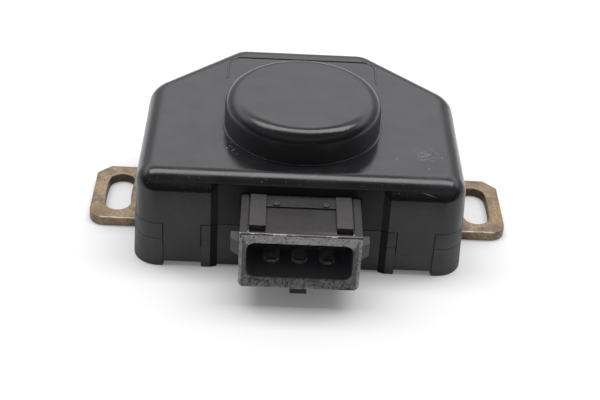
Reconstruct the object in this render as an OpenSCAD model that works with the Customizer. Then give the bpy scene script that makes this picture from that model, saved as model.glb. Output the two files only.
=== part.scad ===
// Throttle position sensor with a three-way plug header and a slotted steel mounting plate.
// The origin is on the rotor axis in the mounting face, and the plug header points along -Y.

/* [Housing] */
// Width across the side walls, at the start of the rounded top edge
body_w = 61; // [59:0.1:64]
// Rotor axis to the front wall
front_d = 20.6; // [20.4:0.1:23]
// Rotor axis to the back wall
back_d = 30.8; // [29.5:0.1:33]
// Length of the back wall between the two bevelled corners
back_w = 27; // [22:0.1:32]
// Radius of the two front corners
front_r = 4.3; // [3.6:0.1:6]
// Radius where the side walls meet the bevels
side_r = 7; // [4:0.1:8]
// Radius where the bevels meet the back wall
back_r = 5; // [4:0.1:7]
// Radius of the rounded top edge
top_fillet = 3.7; // [2.5:0.1:4]
// How far each wall leans out from the top edge down to the mounting face
draft = 0.6; // [0.2:0.1:1]
// Thickness of the side walls
wall_t = 2.4; // [2.2:0.1:3]
// Thickness of the cover's roof
roof_t = 2.4; // [1.8:0.1:2.7]
// Thickness of the cover's skirt and latch tongues, outside the lip of the base
skirt_t = 1.2; // [0.9:0.05:1.4]
// Cover top above the top of the plug header
top_above_header = 3.5; // [3.4:0.05:5]
// Seam between cover and base above the mounting face
seam_z = 9.4; // [9:0.1:10.5]
// Height of the lip of the base above the seam
lip_h = 2; // [1.5:0.1:2.4]
// Thickness of the floor of the base
floor_t = 2; // [1.6:0.1:2.6]
// Clearance between mouldings that fit together
fit_clr = 0.1; // [0.05:0.01:0.15]

/* [Front wall] */
// Width of the recessed panel round the plug header
panel_w = 30.2; // [28:0.1:32]
// Depth of the recessed panel
panel_depth = 0.5; // [0.3:0.05:0.8]
// Slope of the panel's sides, width for each unit of depth
panel_slope = 2.7; // [1.6:0.1:3]
// Middle of each front latch tongue from the centre line
tongue_x = 21.7; // [21:0.1:22.2]
// Width of a latch tongue
tongue_w = 7; // [5:0.1:7.4]
// Lower end of the latch tongues above the mounting face
tongue_z = 4.45; // [4:0.05:6]
// Depth of the shallow step in the base below a tongue
tongue_step = 0.4; // [0.2:0.05:0.6]
// Gap below the latch tongues between the feet
foot_h = 0.75; // [0.5:0.05:1.4]
// Width of the foot beside the recessed panel
foot_w = 2.9; // [1.4:0.1:3]
// Gap below the recessed panel
panel_gap = 0.35; // [0.2:0.05:0.7]

/* [Boss] */
// Radius of the round boss on the cover
boss_r = 15; // [14.6:0.1:16]
// Height of the boss above the cover
boss_h = 6.55; // [6:0.05:8]
// Radius of its rounded upper edge
boss_fillet = 2.8; // [1.5:0.1:3.5]
// Width of the narrow step round its foot
boss_foot = 0.45; // [0.2:0.05:0.8]
// Thickness of the wall and dome of the boss
boss_t = 2.1; // [1.6:0.1:2.3]
// Width of the raised frame line behind the boss
frame_w = 30.8; // [28:0.1:31]
// Rear edge of the frame line from the rotor axis
frame_back = 25.6; // [24.6:0.1:25.8]
// Front ends of the frame line from the rotor axis
frame_front = 16.4; // [14:0.1:18]
// Width of the raised line
frame_line = 0.5; // [0.3:0.05:0.8]
// Height of the raised line
frame_h = 0.15; // [0.1:0.05:0.3]

/* [Plug header] */
// Outer width of the plug header
header_w = 21.7; // [21.4:0.1:22.6]
// Outer height of the plug header
header_h = 11.7; // [11.2:0.05:12.5]
// Underside of the header above the floor of the base
header_rise = 0.5; // [0.4:0.05:1]
// Rotor axis to the rim of the header
rim_y = 32.25; // [31:0.05:35]
// Width of the socket
socket_w = 19.1; // [18.6:0.1:19.6]
// Height of the socket
socket_h = 7.5; // [7.3:0.05:7.8]
// Thickness of the socket's floor
socket_floor = 1.3; // [1:0.05:1.6]
// Corner radius of the socket
socket_r = 1.6; // [0.8:0.1:2.2]
// Depth of the socket
socket_depth = 10; // [9:0.1:10.6]
// Radius of the header's lower edges
header_r = 1; // [0.5:0.1:1.3]
// Width of each guide rail on the header
rail_w = 2.9; // [2:0.1:3.4]
// Middle of each guide rail from the centre line
rail_x = 7.75; // [7.4:0.05:8.4]
// Front end of the rails from the rotor axis
rail_end = 30; // [28:0.1:30.5]
// Height of the rails above the header's top
rail_h = 0.3; // [0.2:0.05:0.5]
// Width of the fine groove outside each rail
groove_w = 0.25; // [0.15:0.05:0.4]
// Depth of that groove
groove_depth = 0.3; // [0.2:0.05:0.5]
// Front end of the notch before each rail, from the rotor axis
notch_y = 31.7; // [31:0.05:31.8]
// Depth of that notch
notch_depth = 0.9; // [0.5:0.05:1.1]
// Depth of the sloping deck between the rails, at the shelf
deck_depth = 0.35; // [0.2:0.05:0.6]
// Depth of the deck at the rim
deck_rim = 0.05; // [0.02:0.01:0.1]
// Front edge of the shelf from the rotor axis
shelf_y = 23.55; // [22.6:0.05:25]
// Thickness of the rim's upper edge
rim_edge = 0.3; // [0.25:0.05:0.5]
// Reach of the side lugs past the header
lug_out = 1.65; // [1:0.05:2.2]
// Height of the side lugs
lug_h = 3; // [2.4:0.1:4]
// Middle of the side lugs above the header's underside
lug_z = 6.5; // [5:0.05:7]
// Front end of the side lugs from the rotor axis
lug_front = 30; // [29:0.1:31]
// Back end of the side lugs from the rotor axis
lug_back = 26.5; // [25.5:0.1:27.5]
// Width of the key under the header
key_w = 3.05; // [2.4:0.05:4]
// Height of the key under the header
key_h = 1.25; // [0.8:0.05:1.6]
// Length of the key under the header
key_len = 7; // [4:0.1:9]
// Height of the lead-in at the floor of the socket
lead_floor = 1.2; // [0.7:0.05:1.25]
// Width of the lead-in at the sides of the socket
lead_side = 0.8; // [0.4:0.05:1.1]
// Depth of the lead-in
lead_depth = 1.2; // [0.6:0.1:1.6]
// Overlap of the inner flange behind the front wall
flange_over = 0.75; // [0.5:0.05:0.8]
// Thickness of the inner flange
flange_t = 1.4; // [1:0.1:1.5]
// Radius of the two nubs on the shelf
nub_r = 0.65; // [0.4:0.05:0.8]
// Middle of each nub from the centre line
nub_x = 4.5; // [3.5:0.1:5]
// Height of the nubs
nub_h = 0.25; // [0.1:0.05:0.4]
// Height of the resin round the terminals
resin_h = 4; // [3:0.1:4.4]
// Thickness of the rubber frame in front of the flange
gasket_t = 1; // [0.6:0.05:1.1]

/* [Terminals] */
// Distance between terminals
pitch = 5; // [4.8:0.05:5.2]
// Width of a blade
blade_w = 2.8; // [2.4:0.1:3]
// Thickness of the terminal sheet
blade_t = 0.8; // [0.6:0.05:0.9]
// Middle of the blades above the header's underside
blade_z = 4.3; // [4.1:0.05:4.4]
// Rim of the header to the tips of the blades
blade_recess = 2.15; // [1.6:0.05:5]
// Length of the bevel on a blade's tip
tip_len = 0.8; // [0.4:0.1:1.2]
// Width of the leg that rises to the board
leg_w = 1.4; // [1:0.1:1.6]
// Rotor axis to the middle of the legs
leg_y = 14; // [13.8:0.05:14.2]
// Length of the legs above the board
leg_above = 0.8; // [0.5:0.05:1]
// Bend radius inside a terminal
bend_r = 0.6; // [0.4:0.05:1]

/* [Mounting plate] */
// Overall width across the two ears
ears_w = 81.8; // [80:0.1:86]
// Width of the ears from front to back
ear_d = 18.25; // [17:0.05:18.6]
// Thickness of the steel
plate_t = 2; // [1.8:0.05:2.4]
// Radius of the plate's round middle under the base
plate_r = 14.5; // [13:0.1:16]
// Radius on which the screw slots are centred
slot_at = 35.8; // [35.4:0.05:36.2]
// Width of a screw slot
slot_w = 5; // [4.6:0.1:5.4]
// Overall length of a screw slot
slot_len = 12.6; // [10:0.1:13]
// Radius of the front corners of the ears
ear_r = 3; // [1.5:0.1:4.5]
// Bevel on the rear corners of the ears
ear_bevel = 2.6; // [1:0.1:4]
// Rivet position across the plate
rivet_x = 20; // [17:0.1:22]
// Rivet position along the plate
rivet_y = 5.5; // [4:0.1:6.2]
// Radius of a rivet's shank
rivet_r = 1.5; // [1:0.05:1.7]
// Radius of a rivet's heads
rivet_head_r = 2.6; // [2:0.05:2.8]
// Height of a rivet's heads
rivet_head_h = 0.9; // [0.6:0.05:1.1]
// How far the countersunk heads lie inside the mounting face
rivet_inset = 0.05; // [0.02:0.01:0.2]

/* [Rotor and bearing] */
// Radius of the rotor's hub
hub_r = 6; // [5.9:0.05:6.2]
// Radius of the pilot bore for the throttle shaft
pilot_r = 4.5; // [4.3:0.05:4.7]
// Depth of the pilot bore
pilot_depth = 3; // [2.4:0.1:3.6]
// Radius of the drive socket above the pilot
drive_r = 4; // [3.6:0.05:4.1]
// Flat of the drive socket from the rotor axis
drive_flat = 2.8; // [2.4:0.1:3.2]
// Roof of the drive socket below the top of the rotor's flange
drive_roof = 0.6; // [0.4:0.05:1]
// Lower end of the hub above the mounting face
hub_z = 0.5; // [0.3:0.05:0.8]
// Radial running clearance in the bearings
run_clr = 0.04; // [0.02:0.005:0.08]
// Axial running clearance
axial_clr = 0.05; // [0.03:0.01:0.1]
// Wall of the bearing bush
bush_t = 1.4; // [1:0.05:1.5]
// Wall of the collar round the bush
collar_t = 1.5; // [1.2:0.05:1.6]
// Height of the collar above the floor
collar_h = 3.8; // [3:0.1:4.2]
// Width of the flange on the bush
bush_flange_w = 1.3; // [0.8:0.05:1.4]
// Thickness of the flange on the bush
bush_flange_t = 0.9; // [0.6:0.05:1]
// Thickness of the thrust washer
washer_t = 0.3; // [0.2:0.05:0.5]
// Height of the shaft seal
seal_h = 2.3; // [1.8:0.1:2.6]
// Thickness of the lip that keeps the shaft seal in
seal_lip = 0.7; // [0.5:0.05:0.9]
// Radius of the rotor's flange
disc_r = 10; // [9.6:0.1:10.2]
// Thickness of the rotor's flange
disc_t = 1; // [0.8:0.05:1.4]
// Radius of the rotor's neck
neck_r = 5; // [4.6:0.05:5.1]
// Radius of the stub on top of the neck
stub_r = 3; // [2.6:0.05:3.1]
// Flat on the stub under the wiper carrier, from the rotor axis
stub_flat = 2.3; // [2:0.05:2.5]
// Room between the stub and the dome of the boss
stub_room = 1.2; // [0.8:0.05:1.6]
// Reach of the stop lug from the rotor axis
stop_r = 12.4; // [12:0.1:13]
// Width of the stop lug as an angle
stop_angle = 18; // [14:1:22]
// Angle of the stop lug at rest
stop_rest = 45; // [40:1:50]
// Travel of the rotor between its stops
travel = 90; // [80:1:95]
// Gap to each stop at the end of the travel, as an angle
stop_gap = 1.5; // [1:0.1:3]
// Width of each fixed stop as an angle
stop_post = 14; // [8:1:18]

/* [Wiper] */
// Radius of the inner collector track
collector_r = 8; // [7.8:0.05:8.2]
// Radius of the outer resistive track
resistive_r = 10.8; // [10.6:0.05:11]
// Width of the printed tracks
track_w = 1.4; // [1:0.05:1.6]
// Width of the printed leads
lead_w = 0.8; // [0.5:0.05:1]
// Thickness of the printed tracks
track_t = 0.05; // [0.03:0.01:0.08]
// Angle of the wiper arm at rest
arm_rest = 21; // [16:1:24]
// Width of the wiper arm
arm_w = 6; // [5:0.1:7]
// Arm past the outer track
arm_over = 1.4; // [1:0.1:1.5]
// Thickness of the wiper carrier
carrier_t = 2; // [1.6:0.05:2.2]
// Height of the wiper carrier above the board
carrier_lift = 1; // [0.9:0.05:1.3]
// Thickness of the brush sheet
brush_t = 0.2; // [0.15:0.01:0.3]
// Width of the brush sheet
brush_w = 2.8; // [2.2:0.1:3.4]
// Width of a contact finger
finger_w = 1; // [0.7:0.05:1.1]
// Reach of a contact finger past the brush sheet
finger_len = 3.2; // [2.6:0.1:3.6]
// Gap between the contact tips and the tracks
contact_gap = 0.05; // [0.03:0.01:0.08]
// Radius of the brush rivets
pin_r = 0.5; // [0.4:0.05:0.6]
// Thickness of the push-on ring
ring_t = 0.5; // [0.3:0.05:0.7]
// Height of the conical spring washer
spring_h = 1.2; // [0.8:0.05:1.5]
// Thickness of the conical spring washer
spring_t = 0.3; // [0.2:0.05:0.4]
// Wall of the cover's spigot round the stub
spigot_t = 2.2; // [1.8:0.1:2.4]

/* [Board] */
// Screw position across the board
screw_x = 12.4; // [12.2:0.1:13]
// Screw position along the board
screw_y = 12.2; // [11.8:0.1:12.4]
// Board past the middle of the screws
board_edge = 3; // [2.6:0.05:3]
// Thickness of the board
board_t = 1.6; // [1.2:0.1:1.8]
// Radius of the hole round the rotor's neck
board_hole_r = 5.6; // [5.5:0.05:6]
// Radius of a screw's shank
screw_r = 1; // [0.8:0.05:1.2]
// Radius of a screw's head
screw_head_r = 2; // [1.7:0.05:2.1]
// Height of a screw's head
screw_head_h = 1.2; // [0.9:0.05:1.4]
// Length of a screw below the board
screw_len = 5; // [4:0.1:7]
// Room between the screw heads and the cover's roof
head_room = 0.3; // [0.2:0.05:0.6]
// Radius of the pillars under the board
pillar_r = 2.3; // [2:0.05:2.4]
// Radius of a solder joint
solder_r = 1.7; // [1.4:0.05:1.9]

/* [Hidden] */
$fn = 72;
// Length that cuts run past a surface
past = 1;
// Longer than the housing in every direction
big = 120;

half_w = body_w / 2;
half_back = back_w / 2;
// Tangent of 22.5 degrees, for a rounded corner between a wall and a 45 degree bevel
bevel_k = sqrt(2) - 1;

floor_top = plate_t + floor_t;
header_bottom = floor_top + header_rise;
header_top = header_bottom + header_h;
top_z = header_top + top_above_header;
shoulder_z = top_z - top_fillet;
ceiling_z = top_z - roof_t;
lip_top = seam_z + lip_h;
seal_t = wall_t - skirt_t - fit_clr;
rebate_z = lip_top + seal_t;
boss_top = top_z + boss_h;
dome_z = boss_top - boss_t;
header_half = header_w / 2;
wall_in = front_d - wall_t;
panel_y = front_d - panel_depth;
// The lip and the rebate stop short of the recessed panel
lip_stop = panel_w / 2 + 1.4;
gasket_y = wall_in - 0.05;
flange_y = gasket_y - gasket_t;
flange_back = flange_y - flange_t;
flange_half = header_half + 1.6;
flange_bottom = floor_top + fit_clr;
flange_top = header_top + flange_over;
socket_bottom = header_bottom + socket_floor;
socket_top = socket_bottom + socket_h;
// Height of the lead-in at the top of the socket
lead_top = header_top - rim_edge - socket_top;
terminal_z = header_bottom + blade_z;

board_top = ceiling_z - head_room - screw_head_h;
board_z = board_top - board_t;
leg_top = board_top + leg_above;

bush_in = hub_r + run_clr;
bush_out = bush_in + bush_t;
collar_r = bush_out + collar_t;
collar_top = floor_top + collar_h;
seal_z = hub_z + seal_lip;
bush_z = seal_z + seal_h;
washer_z = collar_top + bush_flange_t;
disc_z = washer_z + washer_t + axial_clr;
disc_top = disc_z + disc_t;
carrier_z = board_top + carrier_lift;
ring_z = carrier_z + carrier_t;
spring_z = ring_z + ring_t + axial_clr;
spigot_z = spring_z + spring_h;
stub_top = dome_z - stub_room;
arm_r = resistive_r + arm_over;
brush_z = carrier_z - brush_t;
lip_in = hub_r + 0.5;

// Solid that follows the housing's walls, set in by an amount all round
module envelope(inset, bottom, top, fillet = 0) {
    corners = [[half_w - front_r, front_r - front_d, front_r],
        [half_w - side_r, back_d - half_w + half_back - bevel_k * side_r, side_r],
        [half_back - bevel_k * back_r, back_d - back_r, back_r]];
    hull()
        for (side = [-1, 1])
            for (c = corners)
                translate([side * c.x, c.y, 0])
                    corner_post(c[2] - inset, bottom, top, fillet);
}

// One corner of the housing: a drafted post with an optional rounded top edge
module corner_post(r, bottom, top, fillet) {
    steps = 8;
    lean = function(z) draft * max(0, shoulder_z - z) / shoulder_z;
    knee = top - fillet;
    edge = fillet > 0
        ? [for (i = [0 : steps]) let (a = 90 * i / steps)
            [r - fillet + fillet * cos(a), knee + fillet * sin(a)]]
        : [[r + lean(top), top]];
    shoulder = bottom < shoulder_z && shoulder_z < knee ? [[r, shoulder_z]] : [];
    rotate_extrude($fn = 32)
        polygon(concat([[0, bottom], [r + lean(bottom), bottom]], shoulder, edge, [[0, top]]));
}

// Box centred on X, from y0 to y1 and from z0 to z1
module slab(width, y0, y1, z0, z1) {
    translate([-width / 2, y0, z0])
        cube([width, y1 - y0, z1 - z0]);
}

// Rectangle with rounded corners, centred on the origin
module rounded(size, r) {
    square([size.x - 2 * r, size.y], center = true);
    square([size.x, size.y - 2 * r], center = true);
    for (x = [-1, 1], y = [-1, 1])
        translate([x * (size.x / 2 - r), y * (size.y / 2 - r)])
            circle(r);
}

// Sector of a ring between two angles
module sector(r_in, r_out, from, to) {
    steps = ceil((to - from) / 30);
    intersection() {
        difference() {
            circle(r_out);
            circle(r_in);
        }
        polygon(concat([[0, 0]], [for (i = [0 : steps]) let (a = from + (to - from) * i / steps)
            2 * r_out * [cos(a), sin(a)]]));
    }
}

// Plain tube along Z
module tube(r_out, r_in, z0, z1) {
    translate([0, 0, z0])
        difference() {
            cylinder(h = z1 - z0, r = r_out);
            translate([0, 0, -past])
                cylinder(h = z1 - z0 + 2 * past, r = r_in);
        }
}

// Places for what repeats at all four corners of a rectangle
module at_four(x, y) {
    for (i = [-1, 1], j = [-1, 1])
        translate([i * x, j * y, 0])
            children();
}

// Plan of the recessed panel with its sloping sides
module panel_plan() {
    half = panel_w / 2;
    out = 4;
    polygon([[-half, -panel_y], [half, -panel_y], [half + out * panel_slope, -panel_y - out],
        [-half - out * panel_slope, -panel_y - out]]);
}

// Cut for the recessed panel, which leans with the draft of the front wall
module panel_cut(bottom, top) {
    translate([0, -panel_y, shoulder_z])
        rotate([-atan(draft / shoulder_z), 0, 0])
            translate([0, panel_y, bottom - shoulder_z])
                linear_extrude(top - bottom)
                    panel_plan();
}

// Columns where the latch tongues hang: two in front, one at the back
module tongue_columns(side_gap, z0, z1) {
    width = tongue_w + 2 * side_gap;
    for (x = [-tongue_x, tongue_x])
        translate([x, 0, 0])
            slab(width, -big, -wall_in + past, z0, z1);
    slab(width, back_d - wall_t - past, big, z0, z1);
}

// Cover

// Raised frame line behind the boss, open to the front
module frame_line_plan() {
    r = 3;
    depth = frame_back - frame_front;
    difference() {
        translate([0, frame_back - depth])
            rounded([frame_w, 2 * depth], r);
        translate([0, frame_back - depth])
            rounded([frame_w - 2 * frame_line, 2 * depth - 2 * frame_line], r - frame_line);
        translate([-big / 2, frame_front - big])
            square(big);
    }
}

module boss() {
    rotate_extrude()
        difference() {
            union() {
                square([boss_r + boss_foot, top_z + boss_foot / 2]);
                square([boss_r, boss_top - boss_fillet]);
                square([boss_r - boss_fillet, boss_top]);
                translate([boss_r - boss_fillet, boss_top - boss_fillet])
                    circle(boss_fillet);
            }
            translate([-big, -big])
                square([big, 2 * big]);
            square([2 * boss_r, ceiling_z]);
        }
}

module spigot() {
    r = stub_r + run_clr;
    bore_top = stub_top + stub_room / 2;
    difference() {
        translate([0, 0, spigot_z])
            cylinder(h = dome_z - spigot_z + past, r = r + spigot_t);
        translate([0, 0, spigot_z - past])
            cylinder(h = bore_top - spigot_z + past, r = r);
    }
}

module cover() {
    color([0.17, 0.17, 0.18]) {
        difference() {
            union() {
                envelope(0, tongue_z, top_z, top_fillet);
                boss();
                translate([0, 0, top_z - past])
                    linear_extrude(frame_h + past)
                        frame_line_plan();
            }
            // Everything below the seam goes, apart from the latch tongues
            difference() {
                slab(big, -big, big, 0, seam_z);
                tongue_columns(0, 0, seam_z + past);
            }
            // Rebate for the lip of the base and the seal on it
            difference() {
                envelope(skirt_t, tongue_z - past, rebate_z);
                slab(2 * lip_stop, -big, 0, seam_z, big);
            }
            envelope(wall_t, seam_z - past, ceiling_z);
            translate([0, 0, ceiling_z - past])
                cylinder(h = dome_z - ceiling_z + past, r = boss_r - boss_t);
            panel_cut(seam_z - past, top_z + past);
            // Opening for the plug header
            slab(header_w + 2 * fit_clr, -big, -wall_in + past, 0, header_top + fit_clr);
        }
        spigot();
    }
}

// Base

module base_shell() {
    difference() {
        union() {
            envelope(0, 0, seam_z);
            difference() {
                envelope(skirt_t + fit_clr, seam_z - past, lip_top);
                slab(2 * lip_stop + 2 * fit_clr, -big, 0, seam_z, big);
            }
        }
        envelope(wall_t, floor_top, lip_top + past);
        envelope(wall_t, -past, plate_t);
        // Pockets for the latch tongues, and the shallow step below them
        difference() {
            tongue_columns(fit_clr, tongue_z - fit_clr, shoulder_z);
            envelope(skirt_t + fit_clr, 0, shoulder_z);
        }
        difference() {
            tongue_columns(fit_clr, -past, tongue_z);
            envelope(tongue_step, -past, tongue_z + past);
        }
    }
}

// Gaps below the walls, between the corner posts and the feet beside the panel
module foot_gaps() {
    inner = tongue_x - tongue_w / 2 - fit_clr - foot_w;
    slab(2 * inner, -big, -wall_in + past, -past, panel_gap);
    tongue_columns(0, -past, foot_h);
}

// Keepers behind the header's flange
module keepers() {
    for (side = [-1, 1])
        translate([side * (flange_half - 1), 0, 0])
            slab(2, -flange_back + fit_clr, -screw_y, plate_t + past, header_top - header_h / 3);
}

// Fixed stops for the rotor's lug
module stops() {
    first = stop_rest - stop_angle / 2 - stop_gap;
    last = stop_rest + travel + stop_angle / 2 + stop_gap;
    translate([0, 0, plate_t + past])
        linear_extrude(disc_top - plate_t - past) {
            sector(disc_r + 0.4, stop_r + 0.6, first - stop_post, first);
            sector(disc_r + 0.4, stop_r + 0.6, last, last + stop_post);
        }
}

// Ribs on the underside, in front of and behind the plate
module under_ribs() {
    rib_t = 1.2;
    gap = plate_r + 0.3;
    for (x = [-1, 0, 1])
        translate([x * half_w / 2, 0, 0]) {
            slab(rib_t, gap, back_d - wall_t - abs(x) * half_w / 8, foot_h, plate_t + past);
            slab(rib_t, -wall_in, -gap, foot_h, plate_t + past);
        }
}

module base() {
    color([0.15, 0.15, 0.16])
        difference() {
            union() {
                base_shell();
                translate([0, 0, hub_z])
                    cylinder(h = collar_top - hub_z, r = collar_r);
                translate([0, 0, plate_t + past])
                    at_four(screw_x, screw_y)
                        cylinder(h = board_z - plate_t - past, r = pillar_r);
                keepers();
                stops();
                under_ribs();
            }
            foot_gaps();
            panel_cut(-past, seam_z + past);
            // Notches for the ears of the plate
            slab(big, -ear_d / 2 - fit_clr, ear_d / 2 + fit_clr, -past, plate_t);
            // Opening for the plug header
            slab(header_w + 2 * fit_clr, -big, -wall_in + past, header_bottom - fit_clr, big);
            // Seat of the bush and the shaft seal, with the retaining lip below
            translate([0, 0, seal_z])
                cylinder(h = big, r = bush_out);
            translate([0, 0, -past])
                cylinder(h = big, r = lip_in);
            translate([0, 0, -past])
                at_four(rivet_x, rivet_y)
                    cylinder(h = floor_top + 2 * past, r = rivet_r);
            translate([0, 0, board_z - screw_len - past])
                at_four(screw_x, screw_y)
                    cylinder(h = screw_len + 2 * past, r = screw_r);
        }
}

// Plug header

// Socket outline in XZ
module socket_plan() {
    rounded([socket_w, socket_h], socket_r);
}

// Outer body of the header in XZ: square above, with rounded lower edges
module header_plan() {
    translate([-header_half, header_bottom + header_r])
        square([header_w, header_h - header_r]);
    translate([0, header_bottom + header_h / 2])
        rounded([header_w, header_h], header_r);
}

// Extrusion along Y of an XZ outline, from y0 to y1
module along_y(y0, y1) {
    translate([0, y1, 0])
        rotate([90, 0, 0])
            linear_extrude(y1 - y0)
                children();
}

module lead_in() {
    middle = (socket_bottom + socket_top) / 2;
    hull() {
        translate([0, 0, middle])
            along_y(-rim_y + lead_depth, -rim_y + lead_depth + 0.1)
                rounded([socket_w, socket_h], socket_r, $fn = 32);
        translate([0, 0, middle + (lead_top - lead_floor) / 2])
            along_y(-rim_y - 0.1, -rim_y)
                square([socket_w + 2 * lead_side, socket_h + lead_top + lead_floor], center = true);
    }
}

module side_lugs() {
    for (side = [-1, 1])
        translate([0, 0, header_bottom + lug_z - lug_h / 2])
            linear_extrude(lug_h)
                polygon([[side * (header_half - past), -lug_front], [side * header_half, -lug_front],
                    [side * (header_half + lug_out), -lug_front + lug_out],
                    [side * (header_half + lug_out), -lug_back], [side * (header_half - past), -lug_back]]);
}

// Side outline of the deck between the rails, in YZ
module deck_side() {
    polygon([[-rim_y - past, header_top - deck_rim], [-shelf_y, header_top - deck_depth],
        [-shelf_y, header_top + past], [-rim_y - past, header_top + past]]);
}

module connector_shell() {
    rail_in = rail_x - rail_w / 2;
    rail_out = rail_x + rail_w / 2;
    rail_back = panel_y + fit_clr;
    socket_back = -rim_y + socket_depth;
    resin_w = 2 * pitch + blade_w + 2;
    color([0.24, 0.23, 0.23]) {
        difference() {
            union() {
                along_y(-rim_y, -flange_back)
                    header_plan();
                slab(2 * flange_half, -flange_y, -flange_back, flange_bottom, flange_top);
                slab(key_w, -rim_y, -rim_y + key_len, header_bottom - key_h, header_bottom + past / 2);
                side_lugs();
                for (side = [-1, 1])
                    translate([side * rail_x, 0, 0])
                        slab(rail_w, -rail_end, -rail_back, header_top - past / 2, header_top + rail_h);
            }
            // Deck between the rails, which ends behind at a shelf
            translate([-rail_in, 0, 0])
                rotate([90, 0, 90])
                    linear_extrude(2 * rail_in)
                        deck_side();
            // Notch before each rail and the fine groove beside it
            for (side = [-1, 1]) {
                translate([side * rail_x, 0, 0])
                    slab(rail_w, -notch_y, -rail_end, header_top - notch_depth, header_top + past);
                translate([side * (rail_out + groove_w / 2), 0, 0])
                    slab(groove_w, -notch_y, -rail_back, header_top - groove_depth, header_top + past);
            }
            translate([0, 0, (socket_bottom + socket_top) / 2])
                along_y(-rim_y - past, socket_back)
                    socket_plan();
            lead_in();
            for (i = [-1 : 1])
                translate([i * pitch, 0, 0])
                    slab(blade_w, socket_back - past, -flange_back + past,
                        terminal_z - blade_t / 2, terminal_z + blade_t / 2);
            // Pocket for the resin round the terminals
            slab(resin_w, -flange_y, 0, terminal_z - resin_h / 2, terminal_z + resin_h / 2);
        }
        // Nubs on the shelf
        for (side = [-1, 1])
            translate([side * nub_x, nub_r + 0.1 - shelf_y, header_top - past / 2])
                cylinder(h = past / 2 + nub_h, r = nub_r);
    }
}

// Terminals

// Side outline in YZ, drawn with Y to the right and Z up
module terminal_side() {
    r_out = bend_r + blade_t;
    low = terminal_z - blade_t / 2;
    back = -leg_y + blade_t / 2;
    translate([-rim_y + blade_recess, low])
        square([back - r_out + rim_y - blade_recess, blade_t]);
    translate([back - blade_t, low + r_out])
        square([blade_t, leg_top - low - r_out]);
    translate([back - r_out, low + r_out])
        rotate(-90)
            sector(bend_r, r_out, 0, 90);
}

// Top outline in XY: wide blade with a bevelled tip, narrow leg
module terminal_top() {
    tip = -rim_y + blade_recess;
    wide_end = -flange_back - 0.2;
    half = blade_w / 2;
    bevel = blade_w / 4;
    polygon([[-half + bevel, tip], [half - bevel, tip], [half, tip + tip_len], [half, wide_end],
        [leg_w / 2, wide_end], [leg_w / 2, -leg_y + past], [-leg_w / 2, -leg_y + past],
        [-leg_w / 2, wide_end], [-half, wide_end], [-half, tip + tip_len]]);
}

module terminal(i) {
    color([0.42, 0.43, 0.4])
        translate([i * pitch, 0, 0])
            intersection() {
                translate([-blade_w / 2, 0, 0])
                    rotate([90, 0, 90])
                        linear_extrude(blade_w)
                            terminal_side();
                linear_extrude(leg_top + past)
                    terminal_top();
            }
}

module terminal_left() {
    terminal(-1);
}

module terminal_centre() {
    terminal(0);
}

module terminal_right() {
    terminal(1);
}

module terminal_resin() {
    resin_w = 2 * pitch + blade_w + 2;
    color([0.1, 0.1, 0.1])
        difference() {
            slab(resin_w, -flange_y, -flange_back, terminal_z - resin_h / 2, terminal_z + resin_h / 2);
            for (i = [-1 : 1])
                translate([i * pitch, 0, 0])
                    slab(blade_w, -big, 0, terminal_z - blade_t / 2, terminal_z + blade_t / 2);
        }
}

module header_gasket() {
    color([0.09, 0.09, 0.09])
        difference() {
            slab(2 * flange_half, -gasket_y, -flange_y, flange_bottom, flange_top);
            slab(header_w, -gasket_y - past, -flange_y + past, header_bottom, header_top);
        }
}

module cover_seal() {
    color([0.09, 0.09, 0.09])
        difference() {
            envelope(skirt_t + fit_clr, lip_top, rebate_z);
            envelope(wall_t, lip_top - past, rebate_z + past);
            slab(2 * lip_stop + 2 * fit_clr, -big, 0, 0, big);
        }
}

// Mounting plate and its rivets

// One ear, on the +X side
module ear_plan() {
    half = ears_w / 2;
    side = ear_d / 2;
    difference() {
        translate([0, -side])
            square([half, ear_d]);
        translate([half - ear_r, -side - past])
            square([ear_r + past, ear_r + past]);
        polygon([[half - ear_bevel, side + past], [half - ear_bevel, side], [half, side - ear_bevel],
            [half + past, side - ear_bevel], [half + past, side + past]]);
    }
    translate([half - ear_r, ear_r - side])
        circle(ear_r);
}

// Screw slot that follows a circle round the rotor axis, with ends punched a hair wider
module slot_plan() {
    reach = asin((slot_len - slot_w) / 2 / slot_at);
    sector(slot_at - slot_w / 2, slot_at + slot_w / 2, -reach, reach);
    for (a = [-reach, reach])
        rotate(a)
            translate([slot_at, 0])
                circle(slot_w / 2 + 0.02);
}

module mounting_plate() {
    color([0.6, 0.48, 0.36])
        difference() {
            linear_extrude(plate_t)
                difference() {
                    union() {
                        circle(plate_r);
                        for (side = [0, 1])
                            mirror([side, 0])
                                ear_plan();
                    }
                    circle(collar_r + fit_clr);
                    for (side = [0, 1])
                        mirror([side, 0])
                            slot_plan();
                }
            at_four(rivet_x, rivet_y) {
                rivet();
                translate([0, 0, -past])
                    cylinder(h = past + rivet_inset, r = rivet_head_r);
            }
        }
}

// Countersunk below, upset to a dome above the floor
module rivet() {
    translate([0, 0, rivet_inset])
        cylinder(h = rivet_head_h, r1 = rivet_head_r, r2 = rivet_r);
    translate([0, 0, rivet_inset])
        cylinder(h = floor_top + rivet_head_h / 2, r = rivet_r);
    translate([0, 0, floor_top])
        cylinder(h = rivet_head_h / 3, r = rivet_head_r);
    translate([0, 0, floor_top + rivet_head_h / 3])
        cylinder(h = rivet_head_h * 2 / 3, r1 = rivet_head_r, r2 = rivet_r);
}

module plate_rivets() {
    color([0.5, 0.5, 0.48])
        at_four(rivet_x, rivet_y)
            rivet();
}

// Rotor and its bearing

module bearing_bush() {
    color([0.72, 0.55, 0.28]) {
        tube(bush_out, bush_in, bush_z, collar_top + past / 2);
        tube(bush_out + bush_flange_w, bush_in, collar_top, washer_z);
    }
}

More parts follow.
